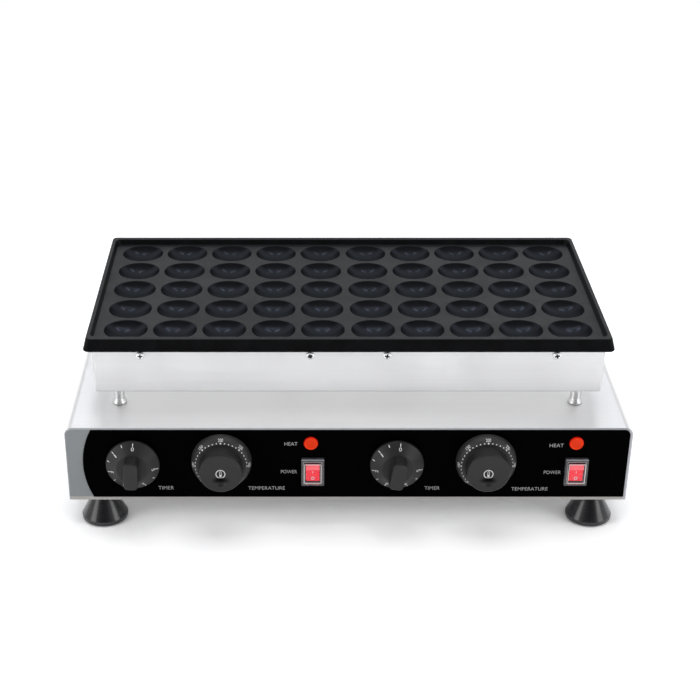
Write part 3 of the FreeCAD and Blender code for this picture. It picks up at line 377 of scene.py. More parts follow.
def thermostat_wear(mat, colour, specular):
    """Painted shade in the dimple below the thermostat icon, with less specular there, and a scale
    ring painted paler as a painted sheen.
    """
    dimple = control_radius(mat, THERMOSTAT, up=-8.3, half_width=9.5, half_height=4.4)
    dimple_shade = mat.span(dimple, over=(0.30, 1.15), to=(0.95, 0.0))
    radius = control_radius(mat, THERMOSTAT)
    ring = mat.times(mat.span(radius, over=(23.0, 25.4)),
                     mat.span(radius, over=(34.0, 36.0), to=FADE))
    colour = mat.mix(mat.times(ring, 0.8), colour, (0.0260, 0.0260, 0.0265))
    colour = mat.mix(dimple_shade, colour, (0.0006, 0.0006, 0.0006))
    return colour, mat.times(mat.inverse(mat.times(dimple_shade, 0.92)), specular)


def pale_top_edge(mat, colour, specular):
    """The rounded upper edge of the switch casing gets a painted highlight, pale where it turns up
    and to the front.
    """
    _, facing_y, up = mat.facing()
    edge = mat.times(mat.span(up, over=(0.25, 0.55)), mat.span(facing_y, over=(-0.20, -0.50)))
    return mat.mix(mat.times(edge, 0.9), colour, (0.50, 0.52, 0.56)), specular


def bright_front_bead(mat, colour, specular):
    """The front rim of the clear cover is painted paler than the bead at its foot, a painted
    highlight.
    """
    share = mat.span(mat.xyz()[1], over=(-0.1780, -0.1786), to=(0.0, 0.75))
    return mat.mix(share, colour, (0.95, 0.90, 0.89)), specular


def make_panel_black():
    """Dead black panel overlay with a very fine tooth."""
    mat = new_material("panel_black")
    rounded = mat.round_edges(0.15)
    tooth = mat.noise(scale=2200.0, detail=2.0)
    clouds = mat.noise(scale=22.0, detail=4.0, rough=0.6)
    share = mat.span(clouds, over=(0.4, 0.7), to=(0.0, 0.5))
    colour = mat.mix(share, (0.0002, 0.0002, 0.0002), (0.0006, 0.0006, 0.0006))
    share = mat.times(mat.wear(rounded, flat=0.99, edge=0.85), 0.2)
    colour = mat.mix(share, colour, (0.02, 0.02, 0.02))
    rough = mat.span(tooth, over=(0.3, 0.7), to=(0.42, 0.52))
    normal = mat.bump(tooth, depth_mm=0.012, strength=0.4, normal=rounded)
    mat.finish(mat.principled(colour, rough, normal, Specular_IOR_Level=0.008))


def make_clear_boot():
    """Clear soft cover: mostly see-through, whitened where seen edge on and along its rounded
    edges, a painted highlight.
    """
    mat = new_material("boot_clear")
    rounded = mat.round_edges(0.5)
    ripple = mat.noise(scale=700.0)
    slant = mat.node("ShaderNodeLayerWeight", {"Blend": 0.30, "Normal": rounded})
    # painted highlight: the cover turns whitish where seen edge on and along its rounded edges
    edge_highlight = mat.span(slant.outputs["Facing"], over=(0.35, 0.98), to=(0.0, 0.45))
    edge = mat.times(mat.wear(rounded, flat=0.985, edge=0.75), 0.60)
    edge_highlight = mat.plus(edge_highlight, edge, clamp=True)
    clear = mat.node("ShaderNodeBsdfTransparent", {"Color": (0.97, 0.97, 0.98)}).outputs[0]
    normal = mat.bump(ripple, depth_mm=0.008, strength=0.3, normal=rounded)
    highlight_white = mat.principled((0.66, 0.66, 0.67), 0.22, normal)
    body = mat.node("ShaderNodeMixShader", {0: edge_highlight, 1: clear, 2: highlight_white}).outputs[0]
    inputs = {"Color": (1.0, 1.0, 1.0), "Roughness": 0.12, "Normal": rounded}
    gloss = mat.node("ShaderNodeBsdfGlossy", inputs).outputs[0]
    fresnel = mat.node("ShaderNodeFresnel", {"IOR": 1.42, "Normal": rounded}).outputs[0]
    reflection = mat.times(fresnel, 0.45)
    mat.finish(mat.node("ShaderNodeMixShader", {0: reflection, 1: body, 2: gloss}).outputs[0])


def make_rocker_red():
    """Red translucent rocker with a painted glow, paler towards its top end as a painted
    highlight.
    """
    mat = new_material("rocker_red")
    red = (0.80, 0.016, 0.034)
    rounded = mat.round_edges(0.25)
    grain = mat.noise(scale=900.0)
    share = mat.span(mat.noise(scale=120.0), over=(0.35, 0.7), to=(0.0, 0.25))
    colour = mat.mix(share, red, lifted(red, 1.25, 0.01))
    # painted highlight: paler towards the top end
    top_highlight_band = ((SWITCH[1] + 2.9) * MM, (SWITCH[1] + 4.4) * MM)
    share = mat.span(mat.xyz()[2], over=top_highlight_band, to=(0.0, 0.80))
    colour = mat.mix(share, colour, (0.92, 0.15, 0.17))
    # it is dark beyond 6.8 mm either side of its middle
    sideways = mat.math("ABSOLUTE", offset_x(mat, mat.xyz()[0], SWITCH))
    colour = mat.mix(mat.span(sideways, over=(6.80, 6.95)), colour, (0.010, 0.004, 0.004))
    rough = mat.span(grain, over=(0.3, 0.7), to=(0.20 - 0.04, 0.20 + 0.06))
    normal = mat.bump(grain, depth_mm=0.02, strength=0.4, normal=rounded)
    # the emission is a painted glow, set to make up for the shade inside the cover
    mat.finish(mat.principled(colour, rough, normal, Specular_IOR_Level=0.15, Coat_Weight=0.12,
                              Coat_Roughness=0.08, Emission_Color=colour,
                              Emission_Strength=0.52))


def make_lens_red():
    """Orange-red diamond-cut lens; painted shade makes its side wall deeper red and its facet
    valleys darker.
    """
    mat = new_material("lens_red")
    rounded = mat.round_edges(0.12)
    grain = mat.noise(scale=900.0)
    # painted shade: the side wall and the valleys between facets are darker
    face = mat.span(mat.facing()[1], over=(-0.55, -0.80))
    facet_shade = mat.span(mat.geometry["Pointiness"], over=(0.46, 0.54))
    front = mat.mix(facet_shade, (0.30, 0.008, 0.002), (0.76, 0.042, 0.007))
    colour = mat.mix(face, (0.42, 0.0022, 0.0008), front)
    share = mat.span(grain, over=(0.4, 0.8), to=(0.0, 0.12))
    colour = mat.mix(share, colour, (0.85, 0.07, 0.015))
    rough = mat.span(grain, over=(0.3, 0.7), to=(0.22, 0.34))
    normal = mat.bump(grain, depth_mm=0.01, strength=0.3, normal=rounded)
    mat.finish(mat.principled(colour, rough, normal, Specular_IOR_Level=0.08,
                              Emission_Color=colour, Emission_Strength=0.30))


# ------------------------------------------------------------------ fibres and ink
def make_wool():
    """Mineral wool, its fibres drawn out along X."""
    mat = new_material("mineral_wool")
    fibres = mat.noise(stretch=(220.0, 900.0, 900.0), detail=6.0, rough=0.7, distortion=1.5)
    clumps = mat.noise(scale=160.0, detail=5.0, rough=0.7)
    colour = mat.mix(fibres, (0.42, 0.36, 0.22), (0.70, 0.64, 0.45))
    share = mat.span(clumps, over=(0.4, 0.7), to=(0.0, 0.4))
    colour = mat.mix(share, colour, (0.80, 0.76, 0.62))
    normal = mat.bump(fibres, depth_mm=0.6, strength=0.9)
    mat.finish(mat.principled(colour, 0.95, normal, Specular_IOR_Level=0.15))


def make_wires():
    """Heat-proof sleeving in two tones that change from run to run."""
    mat = new_material("wire_insulation")
    weave = mat.noise(stretch=(900.0, 900.0, 900.0), detail=4.0, rough=0.6)
    tone = mat.span(mat.noise(scale=11.0, detail=1.0, rough=0.4), over=(0.46, 0.54))
    colour = mat.mix(tone, (0.62, 0.60, 0.55), (0.50, 0.10, 0.06))
    share = mat.span(weave, over=(0.4, 0.8), to=(0.0, 0.3))
    colour = mat.mix(share, colour, (0.75, 0.72, 0.66))
    mat.finish(mat.principled(colour, 0.6, mat.bump(weave, depth_mm=0.05, strength=0.6)))


def make_ink(name, tone):
    """Screen-printed ink, slightly broken up."""
    mat = new_material(name)
    breakup = mat.noise(scale=1800.0, rough=0.6)
    colour = mat.mix(mat.span(breakup, over=(0.35, 0.65)), lifted(tone, 0.80), tone)
    rough = mat.span(breakup, over=(0.35 - 0.05, 0.7), to=(0.45, 0.6))
    mat.finish(mat.principled(colour, rough, mat.bump(breakup, depth_mm=0.01, strength=0.4)))


def make_materials():
    make_nonstick()
    make_brushed("stainless_sheet", tone=0.91)
    make_brushed("stainless_base", tone=0.88, front=True)
    make_metal("bright_steel", tone=0.70)
    make_sheath()
    make_wool()
    make_panel_black()
    make_plastic("foot_black", (0.0018, 0.0019, 0.0034), rough=0.22, grain_mm=0.9,
                 grain_depth_mm=0.012, specular=0.45, edge=0.10,
                 edge_colour=(0.03, 0.032, 0.045), coat=0.25, blotch=0.06)
    make_plastic("knob_black", (0.0092, 0.0090, 0.0088), rough=0.46, grain_mm=0.40,
                 specular=0.34, edge=0.35, edge_colour=(0.060, 0.046, 0.038),
                 detail=thermostat_wear)
    # the pale edge colour is a painted highlight on the casing's rounded edges
    make_plastic("casing_grey", (0.050, 0.053, 0.060), rough=0.24, grain_mm=0.5,
                 grain_depth_mm=0.015, specular=0.65, edge=0.60,
                 edge_colour=(0.34, 0.36, 0.39), detail=pale_top_edge)
    make_metal("zinc_casing", tone=0.55, tint=(1.0, 0.98, 0.92), rough=0.34,
               scratch_scale=300.0)
    make_metal("copper_tube", tone=0.80, tint=(1.0, 0.56, 0.40), rough=0.26,
               scratch_scale=700.0)
    make_lens_red()
    make_rocker_red()
    make_clear_boot()
    make_plastic("terminal_cream", (0.62, 0.57, 0.43), rough=0.5)
    make_wires()
    make_plastic("cord_rubber", (0.012, 0.012, 0.0125), rough=0.55, grain_mm=0.5,
                 grain_depth_mm=0.05, specular=0.4, edge=0.1, edge_colour=(0.06, 0.06, 0.06))
    make_plastic("gland_plastic", (0.016, 0.016, 0.017), rough=0.40, grain_mm=0.7)
    make_metal("plug_brass", tone=0.78, tint=(1.0, 0.80, 0.46), rough=0.22,
               scratch_scale=800.0)
    # painted shade laid in the screw recesses
    make_plastic("recess_shade", (0.020, 0.019, 0.017), rough=0.6, grain_mm=0.3,
                 specular=0.2, edge=0.1, edge_colour=(0.08, 0.08, 0.07))
    # pale opaque beads: a painted highlight standing in for the clear cover's bright edges
    make_plastic("boot_bead_highlight", (0.50, 0.46, 0.45), rough=0.16, grain_mm=0.5,
                 grain_depth_mm=0.01, specular=0.6, edge=0.30, edge_colour=(0.90, 0.88, 0.86),
                 coat=0.4, coat_rough=0.08, detail=bright_front_bead)
    make_ink("print_white", (0.80, 0.80, 0.81))
    make_ink("print_grey", (0.54, 0.54, 0.55))


def dress_cad():
    for name, piece in NODES.items():
        slot = SLOT_OF[name]
        key = "stainless_base" if name == "base_housing" else slot
        piece.data.materials.clear()
        piece.data.materials.append(MATERIALS[key])


# ------------------------------------------------------------------ mesh helpers
def finish_mesh(mesh, name, material, body, smooth=None):
    """Turns a bmesh in mm into an object that rides on a body; smooth is in degrees."""
    bmesh.ops.remove_doubles(mesh, verts=mesh.verts, dist=1e-5)
    bmesh.ops.recalc_face_normals(mesh, faces=mesh.faces)
    for vert in mesh.verts:
        vert.co *= MM
    data = bpy.data.meshes.new(name)
    mesh.to_mesh(data)
    mesh.free()
    if smooth is not None:
        data.shade_smooth()
        data.set_sharp_from_angle(angle=math.radians(smooth))
    data.materials.append(MATERIALS[material])
    piece = bpy.data.objects.new(name, data)
    SCENE.collection.objects.link(piece)
    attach(piece, body)
    return piece


def bridge(mesh, first, second):
    """Joins two closed loops of vertices with quads."""
    for i in range(len(first)):
        j = (i + 1) % len(first)
        mesh.faces.new((first[i], first[j], second[j], second[i]))


# Flat pieces are drawn in x and y; their two faces sit at z -1 (under) and 1 (over)
def slab(outline):
    """A closed flat prism over a polygon."""
    mesh = bmesh.new()
    under = [mesh.verts.new((x, y, -1.0)) for x, y in outline]
    over = [mesh.verts.new((x, y, 1.0)) for x, y in outline]
    mesh.faces.new(under[::-1])
    mesh.faces.new(over)
    bridge(mesh, under, over)
    return mesh


def ring_slab(inner, outer, steps, sweep=360.0, centre_y=0.0):
    """A closed flat ring, or an arc of one from +X."""
    mesh = bmesh.new()
    full = sweep >= 360.0
    count = steps if full else steps + 1
    rows = []
    for i in range(count):
        angle = math.radians(sweep * i / steps)
        section = ((inner, -1.0), (outer, -1.0), (outer, 1.0), (inner, 1.0))
        rows.append([mesh.verts.new((r * math.cos(angle), centre_y + r * math.sin(angle), z))
                     for r, z in section])
    for i in range(steps):
        bridge(mesh, rows[i], rows[(i + 1) % count])
    if not full:
        mesh.faces.new(rows[0])
        mesh.faces.new(rows[-1][::-1])
    return mesh


def circle(radius, steps, centre_y=0.0):
    angles = [2 * math.pi * i / steps for i in range(steps)]
    return [(radius * math.cos(a), centre_y + radius * math.sin(a)) for a in angles]


def rect(width, height, centre_x=0.0, centre_y=0.0, cut=0.0):
    """A rectangle outline, with its corners cut when `cut` is given."""
    x, y = width / 2, height / 2
    if cut:
        points = [(-x + cut, -y), (x - cut, -y), (x, -y + cut), (x, y - cut),
                  (x - cut, y), (-x + cut, y), (-x, y - cut), (-x, -y + cut)]
    else:
        points = [(-x, -y), (x, -y), (x, y), (-x, y)]
    return [(px + centre_x, py + centre_y) for px, py in points]


def lettering(text, height, width, weight=0.0):
    """Closed solid lettering from the built-in face, centred on the origin."""
    curve = bpy.data.curves.new("lettering", "FONT")
    curve.body = text
    curve.size = 10.0
    curve.extrude = 1.0
    curve.offset = weight
    curve.resolution_u = 3
    piece = bpy.data.objects.new("lettering", curve)
    SCENE.collection.objects.link(piece)
    depsgraph = bpy.context.evaluated_depsgraph_get()
    data = bpy.data.meshes.new_from_object(piece.evaluated_get(depsgraph))
    mesh = bmesh.new()
    mesh.from_mesh(data)
    bpy.data.objects.remove(piece)
    bpy.data.curves.remove(curve)
    bpy.data.meshes.remove(data)
    bmesh.ops.remove_doubles(mesh, verts=mesh.verts, dist=1e-4)
    xs = [vert.co.x for vert in mesh.verts]
    ys = [vert.co.y for vert in mesh.verts]
    scale_x = width / (max(xs) - min(xs))
    scale_y = height / (max(ys) - min(ys))
    middle_x, middle_y = (max(xs) + min(xs)) / 2, (max(ys) + min(ys)) / 2
    for vert in mesh.verts:
        x, y, z = vert.co
        side = 1.0 if z > 0 else -1.0
        vert.co = Vector(((x - middle_x) * scale_x, (y - middle_y) * scale_y, side))
    return mesh


def dice(mesh, step):
    """Cuts a flat piece along a fine grid, so that it can follow a curved surface."""
    for axis in (0, 1):
        low = min(vert.co[axis] for vert in mesh.verts)
        high = max(vert.co[axis] for vert in mesh.verts)
        k = math.ceil(low / step + 0.01)
        while k * step < high - 0.01 * step:
            point, normal = Vector((0, 0, 0)), Vector((0, 0, 0))
            point[axis], normal[axis] = k * step, 1.0
            bmesh.ops.bisect_plane(mesh, geom=mesh.verts[:] + mesh.edges[:] + mesh.faces[:],
                                   dist=1e-5, plane_co=point, plane_no=normal)
            k += 1
    return mesh


def merge(parts):
    """Several bmeshes into one."""
    whole = bmesh.new()
    for part in parts:
        data = bpy.data.meshes.new("part")
        part.to_mesh(data)
        whole.from_mesh(data)
        bpy.data.meshes.remove(data)
        part.free()
    return whole


# ------------------------------------------------------------------ laying marks on surfaces
INK_OVER = 0.05    # how far ink stands out of the surface
INK_UNDER = 0.06   # how far it reaches in
SNAP_REACH = 1.2   # marks snap to a dial surface nearer than this


def surface_of(name):
    data = NODES[name].data
    return BVHTree.FromPolygons([vert.co.copy() for vert in data.vertices],
                                [tuple(face.vertices) for face in data.polygons])


def wrap(mesh, centre, profile, along, angle, surface):
    """Lays a flat piece on a dial: its x runs clockwise round it, its y runs outwards.

    The angle is in degrees, counter-clockwise from the top as seen from the front. A profile
    turns a distance along it into (radius, height off the panel) and its normal's two parts.
    """
    middle_radius = profile(along)[0]
    for vert in mesh.verts:
        radius, height, normal_radial, normal_out = profile(along + vert.co.y)
        turn = math.radians(angle) - vert.co.x / middle_radius
        x, z = -math.sin(turn), math.cos(turn)
        point = Vector((centre[0] + radius * x, PANEL_Y - height, centre[1] + radius * z))
        normal = Vector((normal_radial * x, -normal_out, normal_radial * z))
        nearest, _, _, distance = surface.find_nearest(point * MM)
        if nearest is not None and distance < SNAP_REACH * MM:
            point = nearest / MM
        vert.co = point + normal * (INK_OVER if vert.co.z > 0 else -INK_UNDER)
    return mesh


def drape(mesh, centre_x, centre_z, surface, over=INK_OVER):
    """Lays a flat piece on whatever a part shows there to the front, seen along +Y."""
    for vert in mesh.verts:
        start = Vector((centre_x + vert.co.x, -230.0, centre_z + vert.co.y))
        hit = surface.ray_cast(start * MM, Vector((0, 1, 0)))[0]
        y = hit.y / MM if hit is not None else PANEL_Y
        vert.co = Vector((start.x, y - (over if vert.co.z > 0 else -INK_UNDER), start.z))
    return mesh


# ------------------------------------------------------------------ timer marks
# Ends of the dial's cone, (radius, height off the panel)
TIMER_HUB = (16.3, 13.45)
TIMER_RIM = (26.4, 5.7)
TIMER_SLOPE = math.dist(TIMER_HUB, TIMER_RIM) / (TIMER_RIM[0] - TIMER_HUB[0])
TIMER_TURN = {"left": -3.3, "right": -6.4}        # each dial's rest, degrees
TIMER_DIGIT_ANGLES = (0, 54, 107.5, 159, 212, 267)
TIMER_HALF_ANGLES = (27, 80, 134, 187, 240)


def timer_profile(along):
    """`along` is the distance down the cone from the edge of the hub."""
    hub = Vector(TIMER_HUB)
    down = (Vector(TIMER_RIM) - hub).normalized()
    return hub.x + down.x * along, hub.y + down.y * along, -down.y, down.x


def timer_marks(side, shift):
    surface = surface_of("timer_knob_" + side)
    parts = []

    def lay(mesh, radius, angle):
        along = (radius - TIMER_HUB[0]) * TIMER_SLOPE
        centre = (TIMER[0] + shift, TIMER[1])
        turned = angle + TIMER_TURN[side]
        parts.append(wrap(mesh, centre, timer_profile, along, turned, surface))

    def tick(length):
        return dice(slab(rect(width=0.80, height=length * TIMER_SLOPE, cut=0.15)), step=0.7)

    for k, angle in enumerate(TIMER_DIGIT_ANGLES):
        lay(tick(2.6), 24.6, angle)
        digit = lettering(str(k), height=4.0, width=1.1 if k == 1 else 2.8)
        lay(dice(digit, step=0.45), 21.2, angle)
    for angle in TIMER_HALF_ANGLES:
        lay(tick(2.3), 24.75, angle)
    finish_mesh(merge(parts), "timer_marks_" + side, "print_white", "timer_dial_" + side)


# ------------------------------------------------------------------ thermostat marks
# Three points on the dial's rounded shoulder, (radius, height off the panel), from the
# outside in; the last is the outer edge of its flat ring
SHOULDER = ((30.4, 4.8), (28.7, 10.2), (25.2, 14.0))


def arc_centre(first, second, third):
    """Centre of the circle through three points."""
    (ax, ay), (bx, by), (cx, cy) = first, second, third
    a_square, b_square, c_square = ax * ax + ay * ay, bx * bx + by * by, cx * cx + cy * cy
    scale = 2 * (ax * (by - cy) + bx * (cy - ay) + cx * (ay - by))
    return ((a_square * (by - cy) + b_square * (cy - ay) + c_square * (ay - by)) / scale,
            (a_square * (cx - bx) + b_square * (ax - cx) + c_square * (bx - ax)) / scale)


RING_EDGE, RING_HEIGHT = SHOULDER[-1]
ARC_X, ARC_Y = arc_centre(*SHOULDER)
ARC_RADIUS = math.hypot(RING_EDGE - ARC_X, RING_HEIGHT - ARC_Y)
ARC_START = math.atan2(RING_HEIGHT - ARC_Y, RING_EDGE - ARC_X)


def thermostat_profile(along):
    """`along` runs out and down from the flat ring's outer edge; below 0 it is on the ring."""
    if along <= 0:
        return RING_EDGE + along, RING_HEIGHT, 0.0, 1.0
    angle = ARC_START - along / ARC_RADIUS
    x, y = math.cos(angle), math.sin(angle)
    return ARC_X + ARC_RADIUS * x, ARC_Y + ARC_RADIUS * y, x, y


def thermometer_icon():
    """A thermometer in a ring: ring, bulb, two stem sides and the stem's round top."""
    return (ring_slab(4.05, 4.90, steps=48),
            slab(circle(1.20, steps=16, centre_y=-1.95)),
            slab(rect(0.46, 3.3, centre_x=-0.80, centre_y=0.70)),
            slab(rect(0.46, 3.3, centre_x=0.80, centre_y=0.70)),
            ring_slab(0.57, 1.03, steps=12, sweep=180.0, centre_y=2.35))


def thermostat_marks(side, shift):
    centre = (THERMOSTAT[0] + shift, THERMOSTAT[1])
    surface = surface_of("thermostat_knob_" + side)
    parts = []

    def lay(mesh, step, along, angle):
        mesh = dice(mesh, step)
        parts.append(wrap(mesh, centre, thermostat_profile, along, angle, surface))

    for reading in range(50, 301, 10):
        angle = (200 - reading) * 0.9
        numbered = reading % 50 == 0
        dot = slab(circle(0.84 if numbered else 0.62, steps=12))
        lay(dot, step=0.6, along=0.95, angle=angle)
        if numbered:
            width = 5.0 if reading >= 100 else 3.2
            number = lettering(str(reading), height=3.7, width=width)
            lay(number, step=0.4, along=4.45, angle=angle)
    # a short bar at the foot of the dial
    lay(slab(rect(width=1.0, height=1.7, cut=0.15)), step=0.5, along=4.6, angle=180.0)
    for part in thermometer_icon():
        parts.append(drape(dice(part, step=0.8), centre[0], centre[1] - 1.0, surface))
    finish_mesh(merge(parts), "thermostat_marks_" + side, "print_white",
                "thermostat_dial_" + side)


# ------------------------------------------------------------------ panel and rocker marks
# Function words beside the controls: text, left x, right x, middle z
LABELS = (
    ("TIMER", -193.0, -177.3, 44.5), ("TEMPERATURE", -101.4, -64.1, 44.2),
    ("HEAT", -64.3, -51.3, 96.0), ("POWER", -68.0, -51.8, 63.6),
    ("TIMER", 78.2, 93.6, 44.2), ("TEMPERATURE", 166.9, 203.9, 43.2),
    ("HEAT", 202.0, 216.0, 94.2), ("POWER", 198.5, 215.6, 62.8),
)


def panel_labels():
    parts = []
    for text, left, right, middle_z in LABELS:
        word = lettering(text, height=3.9, width=right - left, weight=-0.13)
        for vert in word.verts:
            x, y, z = vert.co
            vert.co = Vector((x + (left + right) / 2, PANEL_Y - (0.06 if z > 0 else -0.04),
                              y + middle_z))
        parts.append(word)
    finish_mesh(merge(parts), "panel_labels", "print_grey", "griddle")


def rocker_marks(side, shift):
    """A bar and a ring on the rocker."""
    x, z = SWITCH[0] + shift, SWITCH[1]
    surface = surface_of("power_rocker_" + side)
    bar = dice(slab(rect(width=0.75, height=2.6)), step=0.8)
    ring = ring_slab(1.05, 1.80, steps=24)
    parts = [drape(bar, x, z + 0.6, surface, over=0.06),
             drape(ring, x, z - 6.6, surface, over=0.06)]
    finish_mesh(merge(parts), "rocker_marks_" + side, "print_white", "rocker_" + side)


# ------------------------------------------------------------------ beads of the clear cover
BEAD_OUTER_CORNER = 0.9
BEAD_INNER_CORNER = 0.55
BEAD_BACK, BEAD_FRONT = -0.25, 0.22   # depth either side of the bead's own plane
BEAD_SOFTENING = 0.12
CORNER_STEPS = 6


def rounded_rect(half_width, half_height, radius):
    points = []
    for k, (side_x, side_y) in enumerate(((1, 1), (-1, 1), (-1, -1), (1, -1))):
        for i in range(CORNER_STEPS + 1):
            angle = math.radians(90.0 * k + 90.0 * i / CORNER_STEPS)
            points.append((side_x * (half_width - radius) + radius * math.cos(angle),
                           side_y * (half_height - radius) + radius * math.sin(angle)))
    return points


def bead(outer, inner):
    """A closed ring between two rounded rectangles (half sizes), with a softened front."""
    soft = min(BEAD_SOFTENING, (outer[0] - inner[0]) * 0.3)
    # half sizes grow by `grow`: (half sizes, grow, corner radius, level)
    stations = ((inner, 0.0, BEAD_INNER_CORNER, BEAD_BACK),
                (outer, 0.0, BEAD_OUTER_CORNER, BEAD_BACK),
                (outer, 0.0, BEAD_OUTER_CORNER, BEAD_FRONT - soft),
                (outer, -soft, BEAD_OUTER_CORNER, BEAD_FRONT),
                (inner, soft, BEAD_INNER_CORNER, BEAD_FRONT),
                (inner, 0.0, BEAD_INNER_CORNER, BEAD_FRONT - soft))
    mesh = bmesh.new()
    rows = []
    for (half_width, half_height), grow, radius, level in stations:
        outline = rounded_rect(half_width + grow, half_height + grow, radius)
        rows.append([mesh.verts.new((x, y, level)) for x, y in outline])
    for first, second in zip(rows, rows[1:] + rows[:1]):
        bridge(mesh, first, second)
    return mesh


def boot_beads(side, shift):
    """The clear cover's thickened front rim and the bead where it meets the switch casing, pale
    and opaque: a painted highlight for the cover's bright edges.
    """
    rim_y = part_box("switch_boot_" + side)[0].y / MM
    # outer and inner half sizes, y of the bead's plane, rise above the switch centre
    beads = (((8.62, 11.05), (8.05, 10.45), rim_y, 0.55),
             ((9.40, 12.86), (8.98, 12.43), PANEL_Y - 4.6, 0.0))
    parts = []
    for outer, inner, plane_y, rise in beads:
        ring = bead(outer, inner)
        for vert in ring.verts:
            x, y, z = vert.co
            vert.co = Vector((SWITCH[0] + shift + x, plane_y - z, SWITCH[1] + rise + y))
        parts.append(ring)
    finish_mesh(merge(parts), "boot_beads_" + side, "boot_bead_highlight", "griddle",
                smooth=35)


# ------------------------------------------------------------------ diamond-cut lamp lens
LENS_SIDES = 48
LENS_MARGIN = 0.95      # from the cut face out to the flange's edge
DIAMOND_PITCH = 1.90
DIAMOND_RELIEF = 0.45
DOME_RISE = 0.45
SHOULDER_LOW = -1.6     # levels deeper than this count from the lens's front


def clip_to_round(polygon, radius):
    """Clips a polygon of (x, y, height) points to a regular many-sided face."""
    for k in range(LENS_SIDES):
        angle = 2 * math.pi * (k + 0.5) / LENS_SIDES
        normal_x, normal_y = math.cos(angle), math.sin(angle)
        limit = radius * math.cos(math.pi / LENS_SIDES)
        kept = []
        for i, start in enumerate(polygon):
            end = polygon[(i + 1) % len(polygon)]
            start_off = start[0] * normal_x + start[1] * normal_y - limit
            end_off = end[0] * normal_x + end[1] * normal_y - limit
            if start_off <= 0:
                kept.append(start)
            leaves = start_off < -1e-9 and end_off > 1e-9
            enters = start_off > 1e-9 and end_off < -1e-9
            if leaves or enters:
                part = start_off / (start_off - end_off)
                kept.append(tuple(start[j] + (end[j] - start[j]) * part for j in range(3)))
        polygon = kept
        if len(polygon) < 3:
            return []
    return polygon


def open_edges(mesh):
    return [edge for edge in mesh.edges if len(edge.link_faces) == 1]


def diamond_face(mesh, outer_radius, face_radius):
    """A domed face of four-sided points, on a square grid turned by 45 degrees."""
    def dome(x, y):
        return DOME_RISE * (1 - (x * x + y * y) / (face_radius * face_radius))

    count = int(outer_radius / DIAMOND_PITCH) + 3
    turn = math.sqrt(0.5)
    for i in range(-2 * count, 2 * count):
        for j in range(-2 * count, 2 * count):
            x, y = i * DIAMOND_PITCH, j * DIAMOND_PITCH
            square = ((x, y), (x + DIAMOND_PITCH, y),
                      (x + DIAMOND_PITCH, y + DIAMOND_PITCH), (x, y + DIAMOND_PITCH))
            corners = [((px - py) * turn, (px + py) * turn) for px, py in square]
            middle = ((corners[0][0] + corners[2][0]) / 2, (corners[0][1] + corners[2][1]) / 2)
            if math.hypot(*middle) > face_radius + DIAMOND_PITCH:
                continue
            apex = (*middle, dome(*middle) + DIAMOND_RELIEF)
            for k in range(4):
                start, end = corners[k], corners[(k + 1) % 4]
                facet = [(*start, dome(*start)), (*end, dome(*end)), apex]
                facet = clip_to_round(facet, face_radius)
                if facet:
                    mesh.faces.new([mesh.verts.new(point) for point in facet])
    bmesh.ops.remove_doubles(mesh, verts=mesh.verts, dist=2e-4)
    bmesh.ops.dissolve_degenerate(mesh, edges=mesh.edges, dist=1e-4)


def lamp_lens(side):
    """Replaces the plain CAD lens, keeping its size and place."""
    node = "heat_lamp_lens_" + side
    low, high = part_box(node)
    centre_x, centre_z = (low.x + high.x) / 2 / MM, (low.z + high.z) / 2 / MM
    front, back = low.y / MM, high.y / MM
    outer = (high.x - low.x) / 2 / MM
    barrel = max(math.hypot(vert.co.x / MM - centre_x, vert.co.z / MM - centre_z)
                 for vert in NODES[node].data.vertices if vert.co.y / MM > PANEL_Y + 0.5)
    face = outer - LENS_MARGIN
    tip = DOME_RISE + DIAMOND_RELIEF
    mesh = bmesh.new()
    diamond_face(mesh, outer, face)
    # (radius, level): shoulder, side wall, back of the flange and barrel through the panel
    stations = ((face + 0.10, -0.03), (outer - 0.40, -0.45), (outer - 0.10, -1.05),
                (outer, -1.45), (outer, front - PANEL_Y), (barrel, front - PANEL_Y),
                (barrel, front - back))
    rim = open_edges(mesh)
    for radius, level in stations:
        if level <= SHOULDER_LOW:
            level += tip
        made = bmesh.ops.extrude_edge_only(mesh, edges=rim)["geom"]
        rim = [item for item in made if isinstance(item, bmesh.types.BMEdge)]
        for item in made:
            if isinstance(item, bmesh.types.BMVert):
                angle = math.atan2(item.co.y, item.co.x)
                item.co = Vector((radius * math.cos(angle), radius * math.sin(angle), level))
    bmesh.ops.holes_fill(mesh, edges=open_edges(mesh), sides=0)
    for vert in mesh.verts:
        x, y, z = vert.co
        vert.co = Vector((centre_x + x, front + tip - z, centre_z + y))
    lens = finish_mesh(mesh, "lamp_lens_" + side, "lens_red", "griddle")
    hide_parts(node)


# ------------------------------------------------------------------ painted shade in screw recesses
SCREW_XS = (-208.8, -38.6, 38.6, 208.8)


def cross_outline(radius, turn):
    """A cross with flared inner corners, for a head of this radius, turned by an angle."""
    reach, half_width = 0.56 * radius, 0.15 * radius
    flare = half_width * 1.15
    arm = [(-half_width, -reach), (half_width, -reach), (flare, -flare)]
    outline = []
    for _ in range(4):
        outline += arm
        arm = [(-y, x) for x, y in arm]
    return [(x * math.cos(turn) - y * math.sin(turn), x * math.sin(turn) + y * math.cos(turn))
            for x, y in outline]


